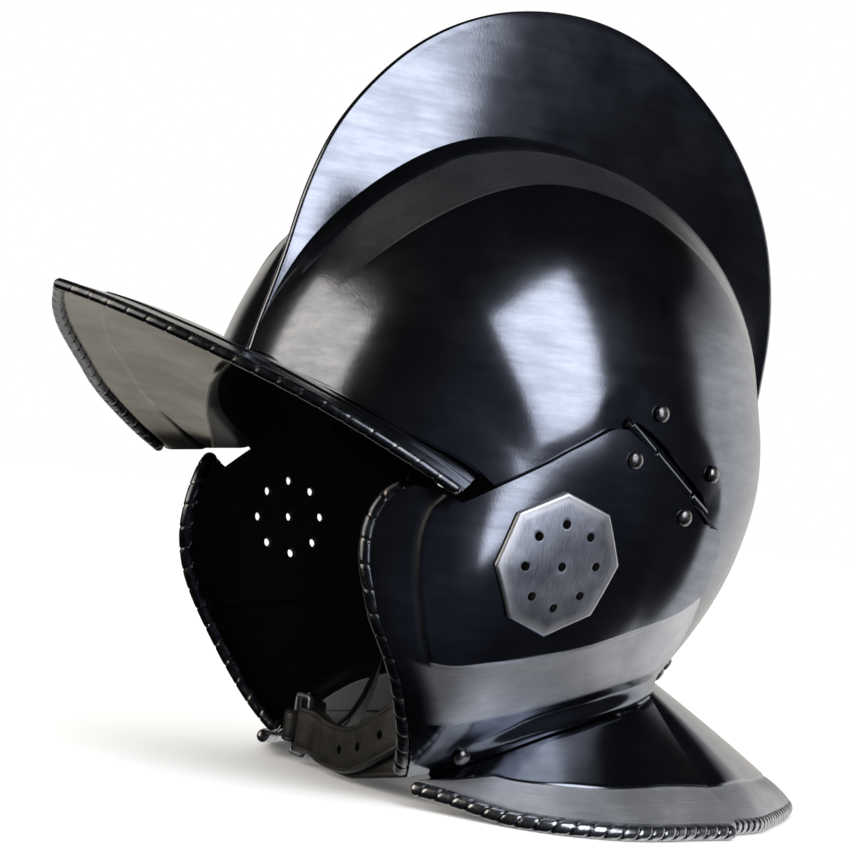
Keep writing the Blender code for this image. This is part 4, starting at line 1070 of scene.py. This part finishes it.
def rim_place(rows, at):
    """A neck plate's rim on the ground plan, at a share along it."""
    return table_value(rows, at, 1) * rim_half_width, table_value(rows, at, 2) * rim_back


def collar_section(along_rim, raised):
    """Outer points across the left collar, its flange inside the cheek first; 0 is its front."""
    at = collar_start + (1 - collar_start) * along_rim
    short = smooth((at - 0.70) / 0.12)
    bare = smooth((at - 0.84) / 0.10)
    hem = cheek_hem(at)
    rim = rim_place(collar_rim, along_rim)
    outward = Vector((rim[0] - hem.x, rim[1] - hem.y, 0))
    outward = Vector((1.0, 0.12, 0)).normalized() if outward.length < 8 * MM else outward.normalized()
    rows = []
    for height in spread(neck_flange, 0.0, 5):
        point = hem_surface(at, height * smooth(0.35 + at * 4) * (1 - short))
        tuck = (plate + hidden_gap) * 1.12 * (1 - bare)
        rows.append(point - Vector((tuck, 0, (1.4 - 0.8 * height / neck_flange) * MM * short)))
    return rows + flare_profile(hem, rim, raised, outward, collar_sag)


def guard_section(at, raised):
    """Outer points across the guard's left half, its flange inside the nape first; 1 is the middle."""
    share_y, share_z = neck_line_back(1 - at)
    unit = unit_from_shares(share_y, share_z)
    unit.x = 0.0 if at >= 1.0 else unit.x
    neck = skull_point(unit)
    normal = skull_normal(unit)
    rim = rim_place(guard_rim, at)
    outward = Vector((rim[0] - neck.x, rim[1] - neck.y, 0)).normalized()
    rows = []
    for height in spread(neck_flange, 0.0, 5):
        lifted = unit_from_shares(share_y, share_z + height / nape_drop)
        lifted.x = 0.0 if at >= 1.0 else lifted.x
        point = skull_point(lifted) - normal * (plate + hidden_gap * 2.3)
        point.z = min(point.z, neck.z + height - 0.6 * MM)
        rows.append(point)
    lapped = 1 - smooth((at - 0.15) / 0.35)
    hollow = guard_sag + (collar_sag + 1.5 * MM - guard_sag) * lapped
    return rows + flare_profile(neck, rim, raised, outward, hollow, collar_overlap * lapped)


def rim_frames(section, shares, heights):
    """For each station: its points, the roll's middle and its outward direction."""
    out = []
    rows = [section(at, height) for at, height in zip(shares, heights)]
    for k, points in enumerate(rows):
        edge = points[-1]
        back = (points[-2] - edge).normalized()
        along = rows[min(k + 1, len(rows) - 1)][-1] - rows[max(k - 1, 0)][-1]
        out.append((points, *rolled_edge(edge, back, along, Vector((0, 0, 1)), rim_roll_radius)))
    return out


def level(section, shares, lifts):
    """Move each station's rim up or down until its roll rests at its own height."""
    heights = [rim_roll_radius * 2] * len(shares)
    for _ in range(3):
        stations = rim_frames(section, shares, heights)
        heights = [h - (station[1].z - rim_roll_radius) + lift
                   for h, station, lift in zip(heights, stations, lifts)]
    return rim_frames(section, shares, heights)


def neck_plate(name, stations, shares, pitch):
    """A flared plate with a roped rim from its stations."""
    count = len(stations[0][0])
    kept = dict(zip(shares, stations))
    rows = spread(0.0, 1.0, count - 1)

    def place(u, v):
        return kept[u][0][round(v * (count - 1))].copy()

    def finish(u, v):
        inside = count - 1 - round(v * (count - 1))
        return smooth((band_rows + 0.5 - inside) / 1.5)

    bm = grid_sheet(shares, rows, place, finish)
    face_outwards(bm, Vector((0, 20 * MM, -60 * MM)))
    sheet = thicken(to_object(name, bm, [banded_steel, paint]), plate)
    _, path, guides = zip(*stations)
    roll = roped_roll(path, guides, rim_roll_radius, pitch, rim_notch)
    return [sheet, to_object(name + "_roll", roll, [rope_rim_steel_notch_shade])]


collar_shares = spread(0.0, 1.0, 90)
collar_lifts = [collar_front_lift * smooth(1 - at / 0.28) for at in collar_shares]
collar_stations = level(collar_section, collar_shares, collar_lifts)
collar = neck_plate("collar_sheet", collar_stations, collar_shares, collar_pitch)
settle_pair(joined("steel_collar_left", collar), "black_steel", "collar")

guard_halves = [1 - (1 - k / 60) ** 1.3 for k in range(61)]
left_guard = level(guard_section, guard_halves, [0.0] * len(guard_halves))
guard_stations = left_guard + [([flip(p, -1.0) for p in points], flip(centre, -1.0), flip(guide, -1.0))
                               for points, centre, guide in left_guard[-2::-1]]
guard_shares = spread(0.0, 1.0, len(guard_stations) - 1)
guard = neck_plate("guard_sheet", guard_stations, guard_shares, guard_pitch)
settle(joined("steel_neck_guard", guard), "black_steel", "neck_guard")


# Peak

# The peak ends at this share of the brow's line
peak_end = 0.90


def brow_place(at):
    """Unit direction to the brow's edge, from the middle, 0, to the peak's end, 1."""
    if at <= 0.0:
        return Vector((0, *brow_points[0])).normalized()
    return unit_from_shares(*brow_line(peak_end * at**1.6))


# Rows across the peak: its flange, its slope, the band's step and the band
peak_rows = (spread(0.0, 1.0, 4), spread(0.0, 1.0, 26), spread(0.0, 1.0, 3), spread(0.0, 1.0, 12))


def peak_section(at):
    """Outer points across the peak, its flange inside the brow first; 0 is the middle."""
    unit = brow_place(at)
    brow = skull_point(unit)
    normal = skull_normal(unit)
    ahead = skull_point(brow_place(min(at + 0.02, 1.0))) - skull_point(brow_place(max(at - 0.02, 0.0)))
    if at <= 0.0:
        ahead = Vector((1, 0, 0))
    below = ahead.cross(normal).normalized()
    below = below if below.z < 0 else -below
    edge = Vector((table_value(peak_edge, at, 1) * peak_half_width,
                   -table_value(peak_edge, at, 2) * peak_reach,
                   middle_height + table_value(peak_edge, at, 3) * peak_lift))
    edge.x = 0.0 if at <= 0.0 else edge.x
    inside = plate + hidden_gap * 1.6
    root = (brow - normal * (inside + 0.25 * MM) - below * peak_root_flange,
            brow - normal * inside + below * 0.9 * MM, brow + normal * 0.9 * MM + below * 2.3 * MM)
    rows = [root[0].lerp(root[1], t) for t in peak_rows[0]]
    rows.append(root[1].lerp(root[2], 0.5) + (below - normal).normalized() * 0.2 * MM)
    start = root[2]
    length = (edge - start).length
    band = 1 - peak_band / length
    step = step_width / length
    shares = [band * t for t in peak_rows[1]] + [band + step * t for t in peak_rows[2][1:]]
    shares += [band + step + (1 - band - step) * t for t in peak_rows[3][1:]]
    for w in shares:
        rise = peak_arch * (1 - at**4) * 4 * w * (1 - w)
        rise -= 0.6 * MM * smooth((w - band) / step) * smooth((1 - w) / 0.06)
        rows.append(start.lerp(edge, w) + Vector((0, 0, rise)))
    if at <= 0.0:
        for point in rows:
            point.x = 0.0
    return rows


def build_peak():
    half = spread(0.0, 1.0, 80)
    left = {at: peak_section(at) for at in half}
    across = [-at for at in reversed(half[1:])] + half
    count = len(left[0.0])

    def place(u, v):
        point = left[abs(u)][round(v * (count - 1))]
        return flip(point, -1.0 if u < 0 else 1.0)

    bm = grid_sheet(across, spread(0.0, 1.0, count - 1), place)
    face_outwards(bm, Vector((0, -60 * MM, -400 * MM)))
    sheet = thicken(to_object("peak_sheet", bm, [steel, peak_underside_painted_reflection]), plate)
    path, guides = [], []
    for k, u in enumerate(across):
        edge = place(u, 1.0)
        back = (left[abs(u)][-2] - left[abs(u)][-1]).normalized()
        back = flip(back, -1.0 if u < 0 else 1.0)
        along = place(across[min(k + 1, len(across) - 1)], 1.0) - place(across[max(k - 1, 0)], 1.0)
        centre, guide = rolled_edge(edge, back, along, Vector((0, 0, 1)), peak_roll_radius)
        path.append(centre)
        guides.append(guide)
    roll = roped_roll(path, guides, peak_roll_radius, peak_pitch, peak_notch)
    return joined("steel_peak", [sheet, to_object("peak_roll", roll, [filed_steel])])


settle(build_peak(), "black_steel", "peak")


# Rivets and hinges

rivet_radius = 3.5 * MM
rivet_dome = 2.0 * MM


def turned(name, profile, base, axis, mats, sides=32):
    """Spin a profile of (radius, height) pairs round an axis, from its base up."""
    bm = bmesh.new()
    line = [bm.verts.new((radius, 0, height)) for radius, height in profile]
    edges = [bm.edges.new(pair) for pair in zip(line, line[1:])]
    bmesh.ops.spin(bm, geom=line + edges, axis=(0, 0, 1), cent=(0, 0, 0), angle=2 * pi, steps=sides,
                   use_merge=True)
    closed(bm)
    turn = Vector((0, 0, 1)).rotation_difference(axis.normalized()).to_matrix().to_4x4()
    bmesh.ops.transform(bm, matrix=Matrix.Translation(base) @ turn, verts=bm.verts)
    item = to_object(name, bm, mats)
    item.data.set_sharp_from_angle(angle=sharp_angle)
    return item


def rivet(node, surface, normal, stack):
    """A round-headed rivet, its head forged into a slightly pointed dome."""
    head = 0.3 * MM
    shank = 1.3 * MM
    tilts = [pi / 2 * k / 9 for k in range(9)]
    dome = [(rivet_radius * sin(a), head + rivet_dome * cos(a) ** 0.9) for a in tilts]
    profile = dome + [(rivet_radius, head + 0.1 * MM), (rivet_radius - 0.1 * MM, head), (shank, head),
                      (shank, -stack), (2.3 * MM, -stack), (2.1 * MM, -stack - 0.5 * MM),
                      (0.0, -stack - 0.9 * MM)]
    settle(turned("forged_" + node, profile, surface, normal, [rivet_steel]), "black_steel", node)


leaf_depth = 0.9 * MM
leaf_thickness = 1.0 * MM
hinge_stack = plate + leaf_depth * 1.6 + leaf_thickness + panel_rise + clearance
guard_stack = plate * 2 + panel_rise + hidden_gap + 2 * clearance
strap_depth = plate * 2 + hidden_gap + 8.2 * MM
anchor_stack = strap_depth + strap_thickness + 8 * clearance
collar_rivet = (0.150, 6.0 * MM)


def hem_point_and_normal(at, height):
    """A point near the cheek's hem, and the direction square to it."""
    step = 0.02
    a = hem_surface(at + step, height) - hem_surface(at - step, height)
    b = hem_surface(at, height + strap_width * 0.7) - hem_surface(at, height - strap_width * 0.2)
    normal = a.cross(b).normalized()
    return hem_surface(at, height), normal if normal.x > 0 else -normal


# Rivets on each side, as (node, on the cheek, depth through the plates, places in shares)
rivet_rows = (("hinge_skull_rivet", False, hinge_stack, ((0.193, 0.112), (0.433, -0.069))),
              ("hinge_cheek_rivet", True, hinge_stack, ((0.095, -0.022), (0.324, -0.176))),
              ("guard_rivet", False, guard_stack, ((0.560, -0.630), (0.680, -0.625))))

for side, sign in (("left", 1.0), ("right", -1.0)):
    for node, on_cheek, stack, places in rivet_rows:
        for k, place in enumerate(places):
            if on_cheek:
                surface, normal = cheek_point(*place, panel_rise), cheek_normal(*place)
            else:
                unit = unit_from_shares(*place)
                normal = skull_normal(unit)
                surface = skull_point(unit) + normal * panel_rise
            rivet("%s_%d_%s" % (node, k + 1, side), flip(surface, sign), flip(normal, sign), stack)
    surface, normal = hem_point_and_normal(*collar_rivet)
    normal = Vector((normal.x, normal.y, normal.z * 0.5)).normalized()
    rivet("collar_rivet_" + side, flip(surface + normal * 4 * clearance, sign), flip(normal, sign),
          anchor_stack)


def leaf_sheet(first, last, near, far, towards_cheek):
    """A strip of a hinge leaf between two shares of the pin and two distances from it."""
    axis = (hinge_point(1.0) - hinge_point(0.0)).normalized()

    def place(u, v):
        pin = hinge_point(u)
        normal = skull_normal(unit_from_shares(*skull_shares(pin.y, pin.z)))
        away = axis.cross(normal).normalized()
        if (away.dot(Vector((0, -0.5, -0.85))) > 0) != towards_cheek:
            away = -away
        point = pin + away * v
        shares = skull_shares(point.y, point.z)
        if towards_cheek:
            out = cheek_normal(*shares)
            base = cheek_point(*shares) - out * (plate - panel_rise + leaf_depth)
        else:
            out = skull_normal(unit_from_shares(*shares))
            base = skull_point(unit_from_shares(*shares)) - out * (plate + leaf_depth * 1.6)
        close = smooth((v - 1.5 * MM) / (3.5 * MM))
        return (pin + away * v - normal * (1.3 * MM + min(v, 3 * MM) * 0.35)).lerp(base, close)

    bm = grid_sheet(spread(first, last, 24), spread(near, far, 16), place)
    face_outwards(bm, Vector((0, 20 * MM, 120 * MM)))
    return thicken(to_object("leaf", bm, [steel]), leaf_thickness, 0)


def knuckle(first, last):
    """One barrel of the hinge, between two shares of the pin."""
    a, b = hinge_point(first), hinge_point(last)
    length = (b - a).length
    outer, bore, edge = 2.3 * MM, 1.3 * MM, 0.25 * MM
    profile = [(bore, 0.0), (outer - edge, 0.0), (outer, edge), (outer, length - edge),
               (outer - edge, length), (bore, length), (bore, 0.0)]
    return turned("knuckle", profile, a, b - a, [steel], 28)


# The three knuckles' first and last shares of the pin
hinge_spans = ((0.012, 0.298), (0.322, 0.768), (0.792, 0.988))
for leaf, towards_cheek, own in (("hinge_skull_leaf", False, hinge_spans[::2]),
                                 ("hinge_cheek_leaf", True, hinge_spans[1:2])):
    parts = [leaf_sheet(0.03, 0.97, 3.2 * MM, 17.0 * MM, towards_cheek)]
    for first, last in own:
        parts.append(knuckle(first, last))
        parts.append(leaf_sheet(max(first, 0.035), min(last, 0.965), 0.3 * MM, 4.8 * MM, towards_cheek))
    settle_pair(joined("forged_" + leaf + "_left", parts), "black_steel", leaf)

pin_foot = hinge_point(-0.01)
pin_axis = hinge_point(1.01) - pin_foot
pin_radius = 1.0 * MM
pin_edge = 0.2 * MM
pin_profile = [(0.0, 0.0), (pin_radius - pin_edge, 0.0), (pin_radius, pin_edge),
               (pin_radius, pin_axis.length - pin_edge), (pin_radius - pin_edge, pin_axis.length),
               (0.0, pin_axis.length)]
pin = turned("turned_hinge_pin_left", pin_profile, pin_foot, pin_axis, [rivet_steel])
settle_pair(pin, "black_steel", "hinge_pin")
remove(slots)


# Chin strap

chin_line = -36.0 * MM
wire_fold = strap_thickness / 2 + buckle_wire_radius + 3 * clearance
ring_far = (-2.42, -0.02)
ring_near = (-1.86, -0.02)
ring_low = 3.9 * MM
ring_high = 28.5 * MM
strap_behind = ((2.44, -0.08, 1.02), (2.05, 0.00, 0.92), (1.55, 0.05, 0.82), (0.95, 0.06, 0.70),
                (0.20, 0.02, 0.59), (-0.80, -0.04, 0.63), (-1.40, -0.12, 0.77))
strap_in_front = ((-1.30, 0.13, 0.77), (-0.75, 0.17, 0.67), (0.10, 0.20, 0.66), (0.80, 0.24, 0.82),
                  (1.45, 0.25, 1.12), (2.00, 0.22, 1.42), (2.50, 0.12, 1.72))
back_strap_line = ((-0.90, -0.24, 0.78), (-1.30, -0.75, 1.02), (-2.20, -1.60, 1.42),
                   (-3.10, -2.35, 1.90), (-3.74, -2.82, 2.32))


def chin_place(across, forward, height):
    """A point under the chin, from shares of the strap's width."""
    return Vector((across * strap_width, chin_line - forward * strap_width, height * strap_width))


def fold(centre, height, first, last, count=5):
    """Points of a strap round one of the ring's wires, from one angle to another."""
    middle = chin_place(*centre, height)
    angles = [radians(first + (last - first) * k / (count - 1)) for k in range(count)]
    return [middle + Vector((cos(a), sin(a), 0)) * wire_fold for a in angles]


def strap_anchor(sign):
    """Points of a strap behind the collar's rivet."""
    surface, normal = hem_point_and_normal(*collar_rivet)
    normal = Vector((normal.x, normal.y, 0)).normalized()
    forward = Vector((0, -1, 0))
    forward = (forward - normal * forward.dot(normal)).normalized()
    middle = surface - normal * (strap_depth + strap_thickness / 2)
    return [flip(middle + forward * step, sign) for step in (-8 * MM, -3 * MM, 2.6 * MM)]


# Half of the strap's section, as shares of its half width and half thickness: a face with a groove
# near each edge, and one rounded edge
strap_face = [(-0.90, 1.0), (-0.80, 1.0), (-0.765, 0.86), (-0.73, 1.0), (-0.40, 1.02), (0.0, 1.03),
              (0.40, 1.02), (0.73, 1.0), (0.765, 0.86), (0.80, 1.0), (0.90, 1.0), (0.97, 0.75), (1.0, 0.3)]


def strap(name, points, width, narrow=0, taper=1.0, punched=()):
    """A cut leather strap on its edge along smooth points, with rounded edges and a worked groove.

    It is half as wide until the point numbered narrow. punched lists the places of its holes.
    """
    last = len(points) - 1
    rows = [(float(k), *p) for k, p in enumerate(points)]

    def middle(at):
        return Vector(tuple(table_value(rows, at, k) for k in (1, 2, 3)))

    loop = strap_face + [(-a, -b) for a, b in strap_face]
    rounds = [k / len(loop) for k in range(len(loop))] + [1.0]
    alongs = spread(0.0, float(last), last * 8)

    def place(u, v):
        centre = middle(u)
        ahead = (middle(min(u + 0.06, last)) - middle(max(u - 0.06, 0.0))).normalized()
        up = (Vector((0, 0, 1)) - ahead * ahead.z).normalized()
        out = ahead.cross(up)
        pinch = 0.5 + 0.5 * smooth((u - (narrow - 1)) / 1.0) if narrow else 1.0
        half = width / 2 * (1 + (taper - 1) * u / last) * pinch
        a, b = loop[round(v * len(loop)) % len(loop)]
        end = min(u, last - u) * 6
        tight = sqrt(min(end, 1.0)) * 0.35 + 0.65
        return centre + up * a * half * tight + out * b * strap_thickness / 2

    bm = grid_sheet(alongs, rounds, place)
    closed(bm)
    item = to_object(name, bm, [leather])
    drills = [drill_pin(middle(at), Vector((0, 1, 0)), 1.9 * MM, -2.2 * MM, 1.6 * MM) for at in punched]
    drilled(item, drills)
    remove(drills)
    return joined(name, [item])


front = [chin_place(*row) for row in strap_in_front]
whole = strap_anchor(1.0) + [chin_place(*row) for row in strap_behind] + fold(ring_near, 0.80, 90, 270)
first_front = len(whole)
whole += front
holes = [first_front + share * (len(front) - 1) for share in (0.33, 0.52, 0.74)]
settle(strap("leather_chin_strap", whole, strap_width, 3, 1.0, holes), "leather", "chin_strap")
short = strap_anchor(-1.0) + [chin_place(-2.66, -0.24, 0.90)] + fold(ring_far, 0.80, 118, -90, 6)
short += [chin_place(-2.60, 0.13, 0.80)]
settle(strap("leather_buckle_strap", short, strap_width * 0.72, 4), "leather", "buckle_strap")
settle(strap("leather_back_strap", [chin_place(*row) for row in back_strap_line], strap_width * 0.62, 0, 0.7),
       "leather", "back_strap")


def build_ring():
    """The buckle's rectangular ring, bent from round wire."""
    low, high = chin_place(*ring_far, 0), chin_place(*ring_near, 0)
    corners = [Vector((low.x, low.y, ring_low)), Vector((high.x, high.y, ring_low)),
               Vector((high.x, high.y, ring_high)), Vector((low.x, low.y, ring_high))]
    inset = 1.6 * MM
    path = []
    for k, corner in enumerate(corners):
        before = corners[k - 1]
        after = corners[(k + 1) % 4]
        enter = corner + (before - corner).normalized() * inset
        leave = corner + (after - corner).normalized() * inset
        for t in spread(0.0, 1.0, 5):
            path.append(enter.lerp(corner, t).lerp(corner.lerp(leave, t), t))
    count = len(path)

    def place(u, v):
        k = round(u * count) % count
        tangent = (path[(k + 1) % count] - path[k - 1]).normalized()
        side = Vector((0, 1, 0))
        out = tangent.cross(side).normalized()
        angle = 2 * pi * v
        return path[k] + (out * cos(angle) + side * sin(angle)) * buckle_wire_radius

    bm = grid_sheet(spread(0.0, 1.0, count), spread(0.0, 1.0, 16), place)
    closed(bm)
    return to_object("bent_wire_buckle", bm, [bare_steel])


settle(build_ring(), "bright_steel", "buckle_ring")


# Studio

bm = bmesh.new()
bmesh.ops.create_grid(bm, x_segments=4, y_segments=4, size=6.0)
# The paper lies a little below the rims, so that it doesn't flicker through them
bmesh.ops.translate(bm, verts=bm.verts, vec=(0, 0, -0.0002))
floor_mat, _, floor_shader = new_material("pale_studio_paper")
floor_shader.inputs["Base Color"].default_value = hex_colour("#fcfcfc")
floor_shader.inputs["Emission Color"].default_value = (1.0, 1.0, 1.0, 1.0)
floor_shader.inputs["Emission Strength"].default_value = 0.08
floor_shader.inputs["Roughness"].default_value = 0.9
floor_shader.inputs["Specular IOR Level"].default_value = 0.1
floor = to_object("studio_floor", bm, [floor_mat])
floor.visible_glossy = False

# The camera's place and axes, worked out from the helmet's outline in the photograph
camera_at = Vector((0.8463, -0.5519, 0.1305))
right = Vector((0.5299, 0.8376, 0.1327)).normalized()
ahead = Vector((-0.8463, 0.5324, 0.0190)).normalized()
up = right.cross(ahead).normalized()
lens = bpy.data.cameras.new("camera")
lens.sensor_width = 36.0
# The photograph is 850 pixels wide, and its focal length is about 2400 of them
lens.lens = lens.sensor_width * 2400 / 850
lens.clip_start = 0.01
camera = bpy.data.objects.new("camera", lens)
turn = Matrix((right, up, -ahead)).transposed().to_4x4()
camera.matrix_world = Matrix.Translation(camera_at) @ turn
bpy.context.scene.collection.objects.link(camera)
bpy.context.scene.camera = camera


def soft_box(name, toward, distance, width, height, power, roll=0.0, colour="#ffffff"):
    """A soft box that lights the helmet's middle from a direction."""
    light = bpy.data.lights.new(name, "AREA")
    light.shape = "RECTANGLE"
    light.size = width
    light.size_y = height
    light.energy = power
    light.color = hex_colour(colour)[:3]
    item = bpy.data.objects.new(name, light)
    item.visible_camera = False
    facing = Vector(toward).normalized()
    place = Vector((0, 0, 0.16)) + facing * distance
    item.matrix_world = (Matrix.Translation(place) @ facing.to_track_quat("Z", "Y").to_matrix().to_4x4()
                         @ Matrix.Rotation(roll, 4, "Z"))
    bpy.context.scene.collection.objects.link(item)
    return item


# The studio round the helmet, as its steel mirrors it: dark, with a white paper sweep behind.
# The camera and matt surfaces see the same white paper on every side.
world = bpy.data.worlds.new("studio")
bpy.context.scene.world = world
world.use_nodes = True
tree = world.node_tree
background = tree.nodes["Background"]
seen = add(tree, "ShaderNodeLightPath")
direction = add(tree, "ShaderNodeTexCoord").outputs["Generated"]
sweep = add(tree, "ShaderNodeVectorMath", {0: direction}, _operation="DOT_PRODUCT", k1=(-0.5, 0.866, -0.15))
sweep = ramp(tree, sweep.outputs["Value"], ((0.42, 0.0), (0.55, 1.0)))
behind = add(tree, "ShaderNodeVectorMath", {0: direction}, _operation="DOT_PRODUCT",
             k1=(-0.9455, 0.3256, 0.0))
sweep = mathed(tree, "MULTIPLY", sweep, ramp(tree, behind.outputs["Value"], ((0.0, 0.0), (0.06, 1.0))))
apart = add(tree, "ShaderNodeSeparateXYZ", {0: direction})
low = ramp(tree, apart.outputs["Z"], ((0.25, 1.0), (0.54, 0.0)))
side = ramp(tree, apart.outputs["X"], ((0.35, "#131416"), (0.85, "#3b3e48")))
across = add(tree, "ShaderNodeMapRange", {0: apart.outputs["X"]}, k1=-0.75, k2=-0.10)
paper = mixed(tree, across.outputs[0], (0.66, 0.63, 0.58, 1.0), (1.35, 1.33, 1.30, 1.0))
mirrored_room = mixed(tree, mathed(tree, "MULTIPLY", sweep, low), side, paper)
sky = mixed(tree, seen.outputs["Is Glossy Ray"], (1.0, 1.0, 1.0, 1.0), mirrored_room)
tree.links.new(sky, background.inputs["Color"])
background.inputs["Strength"].default_value = 1.0


def toward(azimuth, elevation):
    """A direction from its azimuth, from straight ahead towards the wearer's left, and its elevation."""
    a, e = radians(azimuth), radians(elevation)
    return (cos(e) * sin(a), -cos(e) * cos(a), sin(e))


soft_box("main_box", toward(96, 25), 1.6, 1.12, 1.6, 20, radians(18), "#f6f8ff")
soft_box("main_box_lamp", toward(96, 28), 1.5, 0.75, 1.2, 3.2, radians(18))
soft_box("warm_front_box", toward(-20, 16), 1.8, 1.4, 1.45, 18, 0.0, "#fff4e2")

bpy.context.scene.view_settings.view_transform = "Standard"
